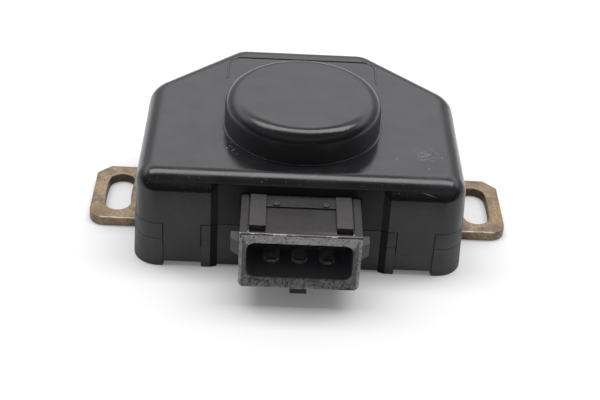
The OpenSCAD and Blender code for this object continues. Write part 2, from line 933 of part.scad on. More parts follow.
module shaft_seal() {
    lip = 0.6;
    color([0.08, 0.08, 0.08])
        rotate_extrude()
            polygon([[bush_in, seal_z], [bush_out, seal_z], [bush_out, bush_z], [bush_in + lip, bush_z],
                [bush_in + lip, seal_z + seal_h / 2], [bush_in, seal_z + seal_h / 3]]);
}

module thrust_washer() {
    color([0.75, 0.72, 0.65])
        tube(bush_out + bush_flange_w - 0.2, bush_in + 0.2, washer_z, washer_z + washer_t);
}

module drive_socket() {
    translate([0, 0, hub_z - past])
        cylinder(h = pilot_depth + past, r = pilot_r);
    translate([0, 0, hub_z])
        linear_extrude(disc_top - drive_roof - hub_z)
            difference() {
                circle(drive_r);
                translate([-drive_r, drive_flat])
                    square([2 * drive_r, drive_r]);
            }
}

module stub() {
    translate([0, 0, carrier_z - past])
        linear_extrude(carrier_t + past)
            stub_plan(0);
    translate([0, 0, ring_z])
        cylinder(h = stub_top - ring_z, r = stub_r);
}

// Section of the stub under the carrier, with its flat, grown by a clearance
module stub_plan(grow) {
    difference() {
        circle(stub_r + grow);
        translate([stub_flat + grow, -stub_r - past])
            square([stub_r, 2 * stub_r + 2 * past]);
    }
}

module rotor() {
    color([0.85, 0.83, 0.76])
        difference() {
            union() {
                translate([0, 0, hub_z])
                    cylinder(h = disc_z - hub_z + past / 2, r = hub_r);
                translate([0, 0, disc_z])
                    cylinder(h = disc_t, r = disc_r);
                translate([0, 0, disc_z])
                    linear_extrude(disc_t)
                        sector(disc_r - past, stop_r, stop_rest - stop_angle / 2, stop_rest + stop_angle / 2);
                translate([0, 0, disc_z])
                    cylinder(h = carrier_z - disc_z, r = neck_r);
                stub();
            }
            drive_socket();
        }
}

// Wiper

module arm_frame() {
    rotate(arm_rest)
        children();
}

// Rivet positions along the arm, on either side of the inner finger
pins = [(neck_r + collector_r) / 2, (collector_r + resistive_r) / 2];

module wiper_carrier() {
    hub = neck_r + 0.2;
    color([0.2, 0.22, 0.2])
        arm_frame()
            translate([0, 0, carrier_z])
                difference() {
                    linear_extrude(carrier_t) {
                        circle(hub);
                        intersection() {
                            translate([0, -arm_w / 2])
                                square([arm_r, arm_w]);
                            circle(arm_r);
                        }
                    }
                    translate([0, 0, -past])
                        linear_extrude(carrier_t + 2 * past)
                            rotate(-arm_rest)
                                stub_plan(0.03);
                    for (x = pins)
                        translate([x, 0, -past])
                            cylinder(h = carrier_t + 2 * past, r = pin_r);
                }
}

// Side outline of a contact finger: down to the track, with an upturned tip
module finger_side() {
    start = brush_w / 2 - brush_t / 2;
    tip = board_top + track_t + contact_gap;
    bend = start + finger_len;
    rise = 1.5 * brush_t;
    polygon([[start, brush_z], [bend - brush_t, tip], [bend + brush_t / 2, tip],
        [bend + 3.5 * brush_t, tip + rise], [bend + 3 * brush_t, tip + rise + brush_t],
        [bend - brush_t / 2, tip + brush_t], [start, carrier_z]]);
}

module wiper_spring() {
    inner = neck_r + 0.4;
    color([0.8, 0.68, 0.4])
        arm_frame()
            difference() {
                union() {
                    translate([inner, -brush_w / 2, brush_z])
                        cube([resistive_r + finger_w / 2 - inner, brush_w, brush_t]);
                    for (x = [collector_r, resistive_r])
                        translate([x - finger_w / 2, 0, 0])
                            rotate([90, 0, 90])
                                linear_extrude(finger_w)
                                    finger_side();
                }
                for (x = pins)
                    translate([x, 0, brush_z - past])
                        cylinder(h = brush_t + 2 * past, r = pin_r);
            }
}

module wiper_rivets() {
    head_r = pin_r + 0.35;
    head_h = 0.2;
    color([0.75, 0.72, 0.6])
        arm_frame()
            for (x = pins)
                translate([x, 0, 0]) {
                    translate([0, 0, brush_z - head_h])
                        cylinder(h = carrier_t + brush_t + 2 * head_h, r = pin_r);
                    translate([0, 0, brush_z - head_h])
                        cylinder(h = head_h, r = head_r);
                    translate([0, 0, ring_z])
                        cylinder(h = head_h, r = head_r);
                }
}

module retaining_ring() {
    teeth = 6;
    color([0.6, 0.6, 0.62])
        translate([0, 0, ring_z])
            linear_extrude(ring_t)
                difference() {
                    circle(neck_r - 0.2);
                    circle(stub_r + 0.02);
                    for (i = [0 : teeth - 1])
                        rotate(i * 360 / teeth)
                            translate([stub_r, 0])
                                circle(0.5);
                }
}

module preload_spring() {
    inner = stub_r + 0.4;
    outer = stub_r + run_clr + spigot_t - 0.1;
    color([0.62, 0.62, 0.65])
        rotate_extrude()
            polygon([[inner, spring_z], [inner + spring_t, spring_z], [outer, spigot_z - spring_t],
                [outer, spigot_z], [outer - spring_t, spigot_z], [inner, spring_z + spring_t]]);
}

// Board and what holds it

// Printed tracks and the leads to the three terminals
module tracks_plan() {
    arc = function(r, w) [r - w / 2, r + w / 2];
    ends = [40, 145];
    pad_y = -leg_y + solder_r + lead_w / 2;
    inner = arc(collector_r, track_w);
    outer = arc(resistive_r, track_w);
    lead = arc(resistive_r, lead_w);
    sector(inner[0], inner[1], ends[0], 270);
    sector(outer[0], outer[1], ends[0], ends[1]);
    sector(lead[0], lead[1], ends[1] - 1, 225);
    sector(lead[0], lead[1], -45, ends[0] + 1);
    translate([-lead_w / 2, pad_y])
        square([lead_w, -pad_y - inner[0] - track_w / 2]);
    for (side = [-1, 1])
        lead_strip([side * resistive_r * cos(45), -resistive_r * sin(45)], [side * pitch, pad_y]);
}

// Printed lead between two points
module lead_strip(from, to) {
    step = to - from;
    translate(from)
        rotate(atan2(step.y, step.x))
            translate([-lead_w / 2, -lead_w / 2])
                square([norm(step) + lead_w / 2, lead_w]);
}

module resistor_board() {
    hole = [leg_w + 0.2, blade_t + 0.2];
    color([0.3, 0.42, 0.3])
        difference() {
            union() {
                translate([0, 0, board_z])
                    linear_extrude(board_t)
                        rounded([2 * (screw_x + board_edge), 2 * (screw_y + board_edge)], 2);
                translate([0, 0, board_top - past / 2])
                    linear_extrude(track_t + past / 2)
                        tracks_plan();
            }
            translate([0, 0, board_z - past])
                linear_extrude(board_t + 2 * past) {
                    circle(board_hole_r);
                    at_four(screw_x, screw_y)
                        circle(screw_r + 0.1);
                    for (i = [-1 : 1])
                        translate([i * pitch - hole.x / 2, -leg_y - hole.y / 2])
                            square(hole);
                }
        }
}

module board_screws() {
    slot = 0.5;
    color([0.7, 0.7, 0.72])
        at_four(screw_x, screw_y)
            difference() {
                union() {
                    translate([0, 0, board_z - screw_len])
                        cylinder(h = screw_len + board_t + past / 2, r = screw_r);
                    translate([0, 0, board_top])
                        cylinder(h = screw_head_h / 2, r = screw_head_r);
                    translate([0, 0, board_top + screw_head_h / 2])
                        cylinder(h = screw_head_h / 2, r1 = screw_head_r, r2 = screw_head_r * 0.7);
                }
                for (a = [0, 90])
                    rotate(a)
                        translate([-screw_r, -slot / 2, board_top + screw_head_h / 3])
                            cube([2 * screw_r, slot, screw_head_h]);
            }
}

module solder_joints() {
    color([0.72, 0.73, 0.75])
        for (i = [-1 : 1])
            translate([i * pitch, -leg_y, board_top])
                difference() {
                    cylinder(h = leg_above * 0.75, r1 = solder_r, r2 = leg_w / 2 + 0.2);
                    translate([-leg_w / 2, -blade_t / 2, -past])
                        cube([leg_w, blade_t, leg_above + 2 * past]);
                }
}

cover();
base();
connector_shell();
terminal_left();
terminal_centre();
terminal_right();
mounting_plate();
plate_rivets();
bearing_bush();
shaft_seal();
thrust_washer();
rotor();
wiper_carrier();
wiper_spring();
wiper_rivets();
retaining_ring();
preload_spring();
resistor_board();
board_screws();
solder_joints();
terminal_resin();
header_gasket();
cover_seal();
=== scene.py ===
"""Throttle position sensor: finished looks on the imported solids."""
import math

import bmesh
import bpy
from mathutils import Matrix, Vector


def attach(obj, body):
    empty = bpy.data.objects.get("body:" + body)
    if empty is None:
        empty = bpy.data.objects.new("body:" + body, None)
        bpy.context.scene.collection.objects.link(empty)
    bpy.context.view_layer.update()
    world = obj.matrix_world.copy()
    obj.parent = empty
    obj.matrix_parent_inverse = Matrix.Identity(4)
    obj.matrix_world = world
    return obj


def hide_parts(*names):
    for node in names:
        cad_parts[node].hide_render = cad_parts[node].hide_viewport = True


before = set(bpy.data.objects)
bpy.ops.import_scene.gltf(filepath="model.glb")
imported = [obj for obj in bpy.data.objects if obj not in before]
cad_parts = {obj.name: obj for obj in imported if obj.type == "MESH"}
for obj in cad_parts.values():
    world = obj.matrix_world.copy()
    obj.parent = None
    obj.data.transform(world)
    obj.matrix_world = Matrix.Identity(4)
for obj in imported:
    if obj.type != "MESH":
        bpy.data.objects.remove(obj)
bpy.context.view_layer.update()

# Studio
# A sheet of pale paper near the edge of a table, with the sensor lying on its mounting face. A soft
# box hangs overhead, the wall behind is bright, and the room on the camera's side is dark.

target = Vector((0.00046, 0.0, 0.0016))
camera_place = Vector((-0.006776, -0.219273, 0.152328))
roll = math.radians(3.44)
towards_camera = (camera_place - target).normalized()
level_right = Vector((0, 0, 1)).cross(towards_camera).normalized()
level_up = towards_camera.cross(level_right)
camera_right = level_right * math.cos(roll) + level_up * math.sin(roll)
camera_up = towards_camera.cross(camera_right)
camera_data = bpy.data.cameras.new("camera")
camera_data.sensor_width = 36
camera_data.lens = 79.41
camera_data.clip_start = 0.01
camera_data.clip_end = 20


def placed(name, data):
    """A new object in the scene."""
    made = bpy.data.objects.new(name, data)
    bpy.context.scene.collection.objects.link(made)
    return made


camera = placed("camera", camera_data)
facing = Matrix((camera_right, camera_up, towards_camera)).transposed()
camera.matrix_world = Matrix.Translation(camera_place) @ facing.to_4x4()
bpy.context.scene.camera = camera
bpy.context.scene.view_settings.view_transform = "Standard"


class Finish:
    """A sheet of shader nodes, with short calls for what the finishes here are mixed from."""

    def __init__(self, name, kind=bpy.data.materials, place="Object"):
        self.made = kind.new(name)
        self.made.use_nodes = True
        self.tree = self.made.node_tree
        self.tree.nodes.clear()
        self.place = self.node("TexCoord").outputs[place]
        self.x, self.y, self.z = self.node("SeparateXYZ", {0: self.place}).outputs

    def node(self, kind, inputs=None, **settings):
        """A node with its settings, and with a number, a colour or another's result at each input."""
        node = self.tree.nodes.new("ShaderNode" + kind)
        for name, value in settings.items():
            setattr(node, name, value)
        for name, value in (inputs or {}).items():
            socket = node.inputs[name]
            if isinstance(value, bpy.types.NodeSocket):
                self.tree.links.new(value, socket)
            else:
                socket.default_value = (*value, 1) if socket.type == "RGBA" else value
        return node

    def mapped(self, shift, turn, stretch, kind="POINT"):
        return self.node("Mapping", {
            "Vector": self.place, "Location": shift, "Rotation": turn, "Scale": stretch},
            vector_type=kind).outputs[0]

    def noise(self, scale, detail=3.0, rough=0.5, stretch=(1, 1, 1), shift=(0, 0, 0), turn=(0, 0, 0)):
        return self.node("TexNoise", {
            "Vector": self.mapped(shift, turn, stretch), "Scale": scale, "Detail": detail,
            "Roughness": rough}).outputs["Fac"]

    def ramp(self, value, low, high, smooth=True, out=(0.0, 1.0)):
        """Goes from one level to another while the value goes from low to high."""
        return self.node("MapRange", {
            "Value": value, "From Min": low, "From Max": high, "To Min": out[0], "To Max": out[1]},
            interpolation_type="SMOOTHSTEP" if smooth else "LINEAR").outputs["Result"]

    def scaled(self, share, start, end):
        return self.ramp(share, 0.0, 1.0, out=(start, end))

    def varied(self, noise, start, end):
        return self.ramp(noise, 0.3, 0.7, out=(start, end))

    def figured(self, kind, whole, *others):
        """A calculation with one value, or with several in turn."""
        for other in others or (0.0,):
            whole = self.node("Math", {0: whole, 1: other}, operation=kind).outputs[0]
        return whole

    def times(self, a, b, *others):
        return self.figured("MULTIPLY", a, b, *others)

    def plus(self, a, b, *others):
        return self.figured("ADD", a, b, *others)

    def less(self, a, b):
        return self.figured("SUBTRACT", a, b)

    def most(self, a, b, *others):
        return self.figured("MAXIMUM", a, b, *others)

    def band(self, value, low, low_full, high_full, high):
        """1 between the two inner limits, fading to 0 at the outer ones."""
        return self.times(self.ramp(value, low, low_full), self.ramp(value, high, high_full))

    def aside(self):
        """Distance from the middle plane."""
        return self.figured("ABSOLUTE", self.x)

    def from_axis(self):
        """Distance from the rotor's axis."""
        return self.figured("SQRT", self.plus(self.times(self.x, self.x), self.times(self.y, self.y)))

    def near(self, point, size, turn=(0, 0, 0)):
        """1 in the middle of an ellipsoid at a point in metres, fading to 0 at its surface."""
        place = self.mapped(point, turn, size, "TEXTURE")
        out = self.node("VectorMath", {0: place}, operation="LENGTH").outputs["Value"]
        return self.ramp(out, 1.0, 0.3)

    def blend(self, share, a, b):
        return self.node("Mix", {0: share, 6: a, 7: b}, data_type="RGBA").outputs[2]

    def over(self, colour, layer, share, amount):
        """A layer of another colour over a share of the surface."""
        return self.blend(self.times(share, amount), colour, layer)

    def bump(self, height, strength, depth):
        return self.node("Bump", {
            "Strength": strength, "Distance": depth, "Height": height}).outputs["Normal"]

    def shown(self, shader):
        self.node("OutputMaterial", {"Surface": shader.outputs[0]})
        return self.made

    def done(self, colour, roughness, normal, metallic=0.0, shine=0.5, ior=1.5):
        return self.shown(self.node("BsdfPrincipled", {
            "Base Color": colour, "Roughness": roughness, "Normal": normal, "Metallic": metallic,
            "Specular IOR Level": shine, "IOR": ior}))


def sweep_paper():
    """Pale paper that ends at the table's edge in front. The camera sees it as white all over."""
    sheet = Finish("sweep_paper")
    on_table = sheet.ramp(sheet.y, -0.056, -0.046)
    paper = sheet.blend(on_table, (0.03, 0.03, 0.03), (0.74, 0.74, 0.74))
    lit = sheet.node("BsdfDiffuse", {"Color": paper})
    rays = sheet.node("LightPath").outputs
    seen = sheet.most(rays["Is Camera Ray"], rays["Is Transmission Ray"])
    white = sheet.ramp(on_table, 0.0, 1.0, False, (1.0, 0.12))
    glow = sheet.node("Emission", {"Color": (1, 1, 1), "Strength": sheet.times(seen, white)})
    return sheet.shown(sheet.node("AddShader", {0: lit.outputs[0], 1: glow.outputs[0]}))


floor_mesh = bpy.data.meshes.new("floor")
reach = 4.0
floor_mesh.from_pydata(
    [(-reach, -reach, 0), (reach, -reach, 0), (reach, reach, 0), (-reach, reach, 0)], [], [(0, 1, 2, 3)])
floor_mesh.materials.append(sweep_paper())
floor = placed("floor", floor_mesh)

# The room: bright wall, darker ceiling, dark below the horizon and on the camera's side
room = Finish("room", bpy.data.worlds, "Generated")
ceiling = room.ramp(room.z, 0.6, 0.8, out=(1.9, 0.7))
horizon = room.ramp(room.z, 0.3, 0.56, out=(0.3, 1.0))
level = room.times(ceiling, horizon, room.ramp(room.y, -0.1, 0.3, out=(0.17, 1.0)))
seen_by_camera = room.node("LightPath").outputs["Is Camera Ray"]
strength = room.node("Mix", {0: seen_by_camera, 2: level, 3: 1.0}, data_type="FLOAT").outputs[0]
sky = room.node("Background", {"Color": (1.0, 0.975, 1.02), "Strength": strength})
room.node("OutputWorld", {"Surface": sky.outputs[0]})
bpy.context.scene.world = room.made

overhead = bpy.data.lights.new("soft_box_overhead", "AREA")
overhead.shape = "RECTANGLE"
overhead.size, overhead.size_y = 1.0, 0.28
overhead.energy = 4.6
placed("soft_box_overhead", overhead).location = (0.02, 0.08, 0.62)

# Base
# The black moulded tray that carries everything: glass-filled plastic, injection moulded in one
# piece, with corner posts and feet that mesh with the cover's tongues and a lip that locates it.

far = 60
half_w, front_d, back_d, half_back = 30.5, 20.6, 30.8, 13.5
front_r, side_r, back_r = 4.3, 7.0, 5.0
lean_out, shoulder_z = 0.6, 16.0
wall, skirt, clearance = 2.4, 1.2, 0.1
seam_z, lip_top, floor_top = 9.4, 11.4, 4.0
tongue_x, tongue_half, tongue_z = 21.7, 3.5, 4.45
front_in, back_in = 1.0 - front_d + wall, back_d - wall - 1.0
panel_half, panel_d, panel_out = 15.1, 0.5, 10.8
hole_half, hole_back, hole_top = 10.95, -17.2, 16.3
collar_r, collar_top, seat_r, mouth_r = 8.94, 7.8, 7.44, 6.5
stop_in, stop_out, stop_wide, stop_top = 10.4, 13.0, 14, 10.05
pillar_r, pillar_top, rib_half, rib_low = 2.3, 14.2, 0.6, 0.75
keeper_x, keeper_half, keeper_front, keeper_back, keeper_top = 11.45, 1, -15.65, -12.2, 12.3
in_floor, rib_from, lip_gap, foot_gap, foot_lift = 3.0, 14.8, 16.6, 15.2, 0.35
plate_t, plate_gap, rivet_hole_r, screw_hole_r = 2.0, 9.225, 1.5, 1.0
pillars = [(x, y) for x in (-12.4, 12.4) for y in (-12.2, 12.2)]
rivet_places = [(x, y) for x in (-20, 20) for y in (-5.5, 5.5)]
bevel_k = math.sqrt(2) - 1
corners = [
    (half_w - front_r, front_r - front_d, front_r, -90, 0),
    (half_w - side_r, back_d - half_w + half_back - bevel_k * side_r, side_r, 0, 45),
    (half_back - bevel_k * back_r, back_d - back_r, back_r, 45, 90)]


def arc(x, y, r, start, stop, steps):
    """Points on an arc, with its angles in degrees."""
    angles = [math.radians(start + (stop - start) * i / steps) for i in range(steps + 1)]
    return [(x + r * math.cos(a), y + r * math.sin(a)) for a in angles]


def housing_ring(inset, z):
    """The housing's plan at one height: walls, 45 degree bevels and round corners."""
    lean = lean_out * max(0.0, shoulder_z - z) / shoulder_z
    half = []
    for x, y, r, start, stop in corners:
        half += [(px, py, z) for px, py in arc(x, y, r - inset + lean, start, stop, (stop - start) // 3)]
    return half + [(-x, y, z) for x, y, z in reversed(half)]


def closed(mesh, gap):
    """Merges a mesh's seams and turns its faces outwards."""
    net = bmesh.new()
    net.from_mesh(mesh)
    bmesh.ops.remove_doubles(net, verts=net.verts, dist=gap)
    bmesh.ops.recalc_face_normals(net, faces=net.faces)
    net.to_mesh(mesh)
    net.free()


def solid(name, points, faces):
    """A closed body in millimetres, as all of them are until they are finished."""
    mesh = bpy.data.meshes.new(name)
    mesh.from_pydata(points, [], faces)
    closed(mesh, 1e-5)
    return placed(name, mesh)


def stacked(name, rings):
    """Rings of equally many points joined into a closed solid."""
    n = len(rings[0])
    points = [p for ring in rings for p in ring]
    faces = [tuple(range(n)), tuple(range(len(points) - n, len(points)))]
    for layer in range(len(rings) - 1):
        for i in range(n):
            j = (i + 1) % n
            a, b = layer * n, (layer + 1) * n
            faces.append((a + i, a + j, b + j, b + i))
    return solid(name, points, faces)


def housing_block(inset, bottom, top):
    """Solid that follows the housing's walls between two heights."""
    levels = [bottom] + ([shoulder_z] if bottom < shoulder_z < top else []) + [top]
    return stacked("housing_block", [housing_ring(inset, z) for z in levels])


def prism(outline, z0, z1):
    return stacked("prism", [[(x, y, z0) for x, y in outline], [(x, y, z1) for x, y in outline]])


def block(x0, x1, y0, y1, z0, z1):
    return prism([(x0, y0), (x1, y0), (x1, y1), (x0, y1)], z0, z1)


def turned(profile, x=0.0, y=0.0, count=96):
    """A profile of radius and height, from axis to axis, turned round a vertical line."""
    points, faces, rings = [], [], []
    for r, z in profile:
        if r < 1e-6:
            rings.append([len(points)])
            points.append((x, y, z))
        else:
            rings.append(list(range(len(points), len(points) + count)))
            for i in range(count):
                a = 2 * math.pi * i / count
                points.append((x + r * math.cos(a), y + r * math.sin(a), z))
    for low, high in zip(rings, rings[1:]):
        for i in range(count):
            j = (i + 1) % count
            corner = [low[i % len(low)], low[j % len(low)], high[j % len(high)], high[i % len(high)]]
            face = tuple(dict.fromkeys(corner))
            if len(face) > 2:
                faces.append(face)
    if len(rings[0]) > 1:
        faces.append(tuple(rings[0]))
    if len(rings[-1]) > 1:
        faces.append(tuple(rings[-1]))
    return solid("turned", points, faces)


def pin(x, y, r, z0, z1, count=48):
    return turned([(0, z0), (r, z0), (r, z1), (0, z1)], x, y, count)


def applied(body):
    """Makes what the modifiers show the body's own mesh."""
    bpy.context.view_layer.update()
    shown = body.evaluated_get(bpy.context.evaluated_depsgraph_get())
    body.data = bpy.data.meshes.new_from_object(shown)
    body.modifiers.clear()
    return body


def worked_with(tools, body, how):
    """Uses up tools to cut a body or to build it up."""
    for tool in tools:
        step = body.modifiers.new("step", "BOOLEAN")
        step.operation = how
        step.solver = "EXACT"
        step.object = tool
        applied(body)
        bpy.data.objects.remove(tool)
    return body


def cut(body, *tools):
    return worked_with(tools, body, "DIFFERENCE")


def fused(body, *tools):
    return worked_with(tools, body, "UNION")


def softened(body, width, angle=35):
    """Rounds the outward edges a little, as a mould or a press leaves them."""
    net = bmesh.new()
    net.from_mesh(body.data)
    bmesh.ops.remove_doubles(net, verts=net.verts, dist=0.01)
    bmesh.ops.dissolve_degenerate(net, dist=0.005, edges=net.edges)
    bmesh.ops.dissolve_limit(net, angle_limit=math.radians(0.4), verts=net.verts, edges=net.edges)
    share = net.edges.layers.float.new("bevel_weight_edge")
    for edge in net.edges:
        if len(edge.link_faces) == 2 and edge.is_convex and edge.calc_face_angle(0) > math.radians(angle):
            room = width * 2.2
            for face in edge.link_faces:
                for other in face.edges:
                    if other is not edge and set(other.verts) & set(edge.verts):
                        along = (other.verts[1].co - other.verts[0].co).normalized()
                        line = (edge.verts[1].co - edge.verts[0].co).normalized()
                        if abs(along.dot(line)) < 0.9:
                            room = min(room, other.calc_length())
            edge[share] = min(1.0, 0.45 * room / width)
    net.to_mesh(body.data)
    net.free()
    edge = body.modifiers.new("edge", "BEVEL")
    edge.width = width
    edge.segments = 2
    edge.limit_method = "WEIGHT"
    edge.use_clamp_overlap = False
    edge.miter_outer = "MITER_SHARP"
    return applied(body)


def finished(body, name, material, node, rides="housing"):
    """Turns a shape to metres, smooths it, dresses it, and lets it stand for its node."""
    body.name = name
    body.data.name = name
    body.data.transform(Matrix.Scale(0.001, 4))
    net = bmesh.new()
    net.from_mesh(body.data)
    bmesh.ops.triangulate(net, faces=[f for f in net.faces if len(f.verts) > 4])
    net.to_mesh(body.data)
    net.free()
    body.data.shade_smooth()
    body.data.set_sharp_from_angle(angle=math.radians(30))
    even = body.modifiers.new("even", "WEIGHTED_NORMAL")
    even.keep_sharp = True
    even.weight = 80
    applied(body).data.materials.clear()
    body.data.materials.append(material)
    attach(body, rides)
    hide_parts(node)
    return body


def tongue_columns(gap, z0, z1):
    half = tongue_half + gap
    return [block(-tongue_x - half, -tongue_x + half, -far, front_in, z0, z1),
            block(tongue_x - half, tongue_x + half, -far, front_in, z0, z1),
            block(-half, half, back_in, far, z0, z1)]


def panel_cut(z0, z1):
    """The recess of the front wall round the plug header, with sloping sides and the wall's lean."""
    rings = []
    for z in (z0, z1):
        face = panel_d - front_d - lean_out * (shoulder_z - z) / shoulder_z
        rings.append([(-panel_half, face, z), (panel_half, face, z), (panel_half + panel_out, face - 4, z),
                      (-panel_half - panel_out, face - 4, z)])
    return stacked("panel_cut", rings)


def rotor_stop(start):
    stop = start + stop_wide
    outline = arc(0, 0, stop_out, start, stop, 8) + arc(0, 0, stop_in, stop, start, 8)
    return prism(outline, in_floor, stop_top)


base = housing_block(0, 0, seam_z)
lip = housing_block(skirt + clearance, seam_z - 1, lip_top)
fused(base, cut(lip, block(-lip_gap, lip_gap, -far, 0, seam_z, far)))
# Hollow above the floor and below it, pockets and steps for the cover's tongues
cut(base, housing_block(wall, floor_top, lip_top + 1), housing_block(wall, -1, plate_t))
for pocket in tongue_columns(clearance, tongue_z - clearance, shoulder_z):
    wall_part = housing_block(skirt + clearance, 0, shoulder_z + 1)
    cut(base, cut(pocket, wall_part))
for step in tongue_columns(clearance, -1, tongue_z):
    cut(base, cut(step, housing_block(0.4, -2, tongue_z + 1)))
# Collar, pillars for the board, keepers behind the header's flange, the rotor's stops, ribs below
fused(base, pin(0, 0, collar_r, 0.5, collar_top, 96))
fused(base, *[pin(x, y, pillar_r, in_floor, pillar_top) for x, y in pillars])
for x in (-keeper_x, keeper_x):
    fused(base, block(x - keeper_half, x + keeper_half, keeper_front, keeper_back, in_floor, keeper_top))
fused(base, rotor_stop(20.5), rotor_stop(145.5))
for i in (-1, 0, 1):
    x = i * half_w / 2
    back = back_d - wall - abs(i) * half_w / 8
    fused(base, block(x - rib_half, x + rib_half, rib_from, back, rib_low, in_floor),
          block(x - rib_half, x + rib_half, wall - front_d, -rib_from, rib_low, in_floor))
# Gaps between the feet, the recessed panel, notches for the plate's ears, the header's opening, the
# seat of the bush and seal, and the holes of the rivets and screws
cut(base, block(-foot_gap, foot_gap, -far, hole_back, -1, foot_lift), *tongue_columns(0, -1, rib_low))
cut(base, panel_cut(-1, seam_z + 1), block(-far, far, -plate_gap, plate_gap, -1, plate_t),
    block(-hole_half, hole_half, -far, hole_back, 4.4, far),
    pin(0, 0, seat_r, 1.2, far, 96), pin(0, 0, mouth_r, -1, plate_t, 96))
cut(base, *[pin(x, y, rivet_hole_r, -1, 5.0, 32) for x, y in rivet_places])
cut(base, *[pin(x, y, screw_hole_r, 8.2, 15.2, 24) for x, y in pillars])
# Parting line of the mould across the corner posts and feet
cut(base, cut(housing_block(-0.5, 6.05, 6.2), housing_block(0.07, 5.5, 7.0)))
softened(base, 0.14)


def panel_sides(sheet):
    """The two sloping walls of the recess round the header, where painted shade darkens the colour."""
    away = sheet.aside()
    walls = sheet.band(away, 0.0151, 0.01518, 0.01642, 0.0165)
    return sheet.times(walls, sheet.ramp(sheet.y, -0.0197, -0.0199), sheet.ramp(sheet.z, 0.0184, 0.0178))


def base_plastic():
    """Matt black: fine erosion grain, greyer where it has been handled, dust in the recesses, painted shade
    on the recess walls.
    """
    sheet = Finish("base_plastic")
    grain = sheet.noise(2600, 4, 0.6)
    painted_recess_shade = panel_sides(sheet)
    broad = sheet.noise(160, 3, 0.55)
    colour = sheet.blend(sheet.ramp(broad, 0.35, 0.7), (0.039, 0.0385, 0.0395), (0.056, 0.055, 0.0565))
    dust = sheet.ramp(sheet.noise(900, 5, 0.7, shift=(3, 1, 2)), 0.66, 0.8)
    colour = sheet.over(colour, (0.12, 0.115, 0.11), dust, 0.25)
    # Painted shade on the sloping walls of the recess, with less shine there
    colour = sheet.over(colour, (0.008, 0.0078, 0.0085), painted_recess_shade, 0.85)
    rough = sheet.varied(sheet.noise(420, 3, 0.6), 0.42, 0.55)
    normal = sheet.bump(grain, 0.25, 0.00004)
    return sheet.done(colour, rough, normal, shine=sheet.scaled(painted_recess_shade, 0.5, 0.12))


finished(base, "base_moulding", base_plastic(), "base")

# Mounting plate
# Pressed from 2.0 mm steel, yellow passivated and long since stained brown, riveted under the
# base. Its two ears carry curved slots, so that the sensor can be turned when it is set.

plate_r, ear_half, ear_end, ear_corner, ear_cut = 14.5, 9.125, 40.9, 3.0, 2.6
slot_r, slot_half, slot_reach = 35.8, 2.5, 3.8
sink_r, sink_low, sink_top = 2.6, 0.05, 0.95


def ear_outline():
    """The plate's plan: a round middle and two ears with rounded front and bevelled rear corners."""
    right = arc(ear_end - ear_corner, ear_corner - ear_half, ear_corner, -90, 0, 8)
    right += [(ear_end, ear_half - ear_cut), (ear_end - ear_cut, ear_half)]
    lift = math.degrees(math.asin(ear_half / plate_r))
    back = arc(0, 0, plate_r, lift, 180 - lift, 32)
    left = [(-x, y) for x, y in reversed(right)]
    front = [(-x, -y) for x, y in back]
    return right + back + left + front


def ear_slot(side):
    """A slot curved round the rotor's axis, with round ends."""
    turn = math.degrees(math.asin(slot_reach / slot_r))
    end = math.sqrt(slot_r ** 2 - slot_reach ** 2)
    outline = arc(0, 0, slot_r + slot_half, -turn, turn, 12)
    outline += arc(end, slot_reach, slot_half, turn, turn + 180, 16)[1:-1]
    outline += arc(0, 0, slot_r - slot_half, turn, -turn, 12)
    outline += arc(end, -slot_reach, slot_half, 180 - turn, 360 - turn, 16)[1:-1]
    return prism([(side * x, y) for x, y in outline], -1, plate_t + 1)


plate = prism(ear_outline(), 0, plate_t)
cut(plate, pin(0, 0, collar_r + clearance, -1, plate_t + 1, 96), ear_slot(1), ear_slot(-1))
for x, y in rivet_places:
    cut(plate, turned([
        (0, -1), (sink_r, -1), (sink_r, sink_low), (rivet_hole_r, sink_top), (rivet_hole_r, plate_t + 1),
        (0, plate_t + 1)], x, y, 48))
softened(plate, 0.22)


def stained_steel():
    """Yellow-brown passivated zinc, dull, with dark oil stains, painted highlights on the ears and painted
    shade in the slots.
    """
    sheet = Finish("stained_steel")
    broad = sheet.noise(190, 4, 0.6)
    fine = sheet.noise(1500, 5, 0.7)
    gold = sheet.ramp(sheet.noise(260, 4, 0.6, shift=(7, 1, 3)), 0.5, 0.66)
    stains = sheet.ramp(sheet.noise(230, 5, 0.65, shift=(2, 4, 1)), 0.47, 0.62)
    colour = sheet.blend(sheet.ramp(broad, 0.32, 0.68), (0.285, 0.203, 0.122), (0.385, 0.302, 0.2))
    colour = sheet.over(colour, (0.27, 0.205, 0.085), gold, 0.45)
    colour = sheet.over(colour, (0.17, 0.112, 0.072), sheet.ramp(fine, 0.42, 0.6), 0.4)
    colour = sheet.over(colour, (0.085, 0.058, 0.042), stains, 0.65)
    pits = sheet.ramp(sheet.noise(2600, 3, 0.6, shift=(5, 5, 2)), 0.64, 0.7)
    colour = sheet.over(colour, (0.05, 0.035, 0.025), pits, 0.6)
    # Painted highlight along the upper front edges of the ears, broken up by noise
    edge = sheet.times(sheet.ramp(sheet.y, -0.00885, -0.00905), sheet.ramp(sheet.z, 0.00165, 0.00185),
                       sheet.ramp(sheet.noise(520, 4, 0.7, shift=(1, 2, 8)), 0.4, 0.52))
    colour = sheet.over(colour, (0.62, 0.56, 0.5), edge, 0.85)
    # Painted shade darkens the sheared walls of the slots, low down
    away = sheet.aside()
    slots = sheet.times(sheet.band(away, 0.0328, 0.033, 0.0387, 0.0389),
                        sheet.ramp(sheet.figured("ABSOLUTE", sheet.y), 0.0068, 0.0065),
                        sheet.ramp(sheet.z, 0.0018, 0.0016))
    colour = sheet.over(colour, (0.035, 0.025, 0.02), slots, 0.75)
    rough = sheet.varied(fine, 0.38, 0.6)
    normal = sheet.bump(sheet.less(fine, sheet.times(pits, 0.6)), 0.4, 0.00006)
    metal = sheet.scaled(stains, 0.85, 0.35)
    return sheet.done(colour, rough, normal, metallic=metal, ior=1.6)


finished(plate, "mounting_plate_steel", stained_steel(), "mounting_plate")

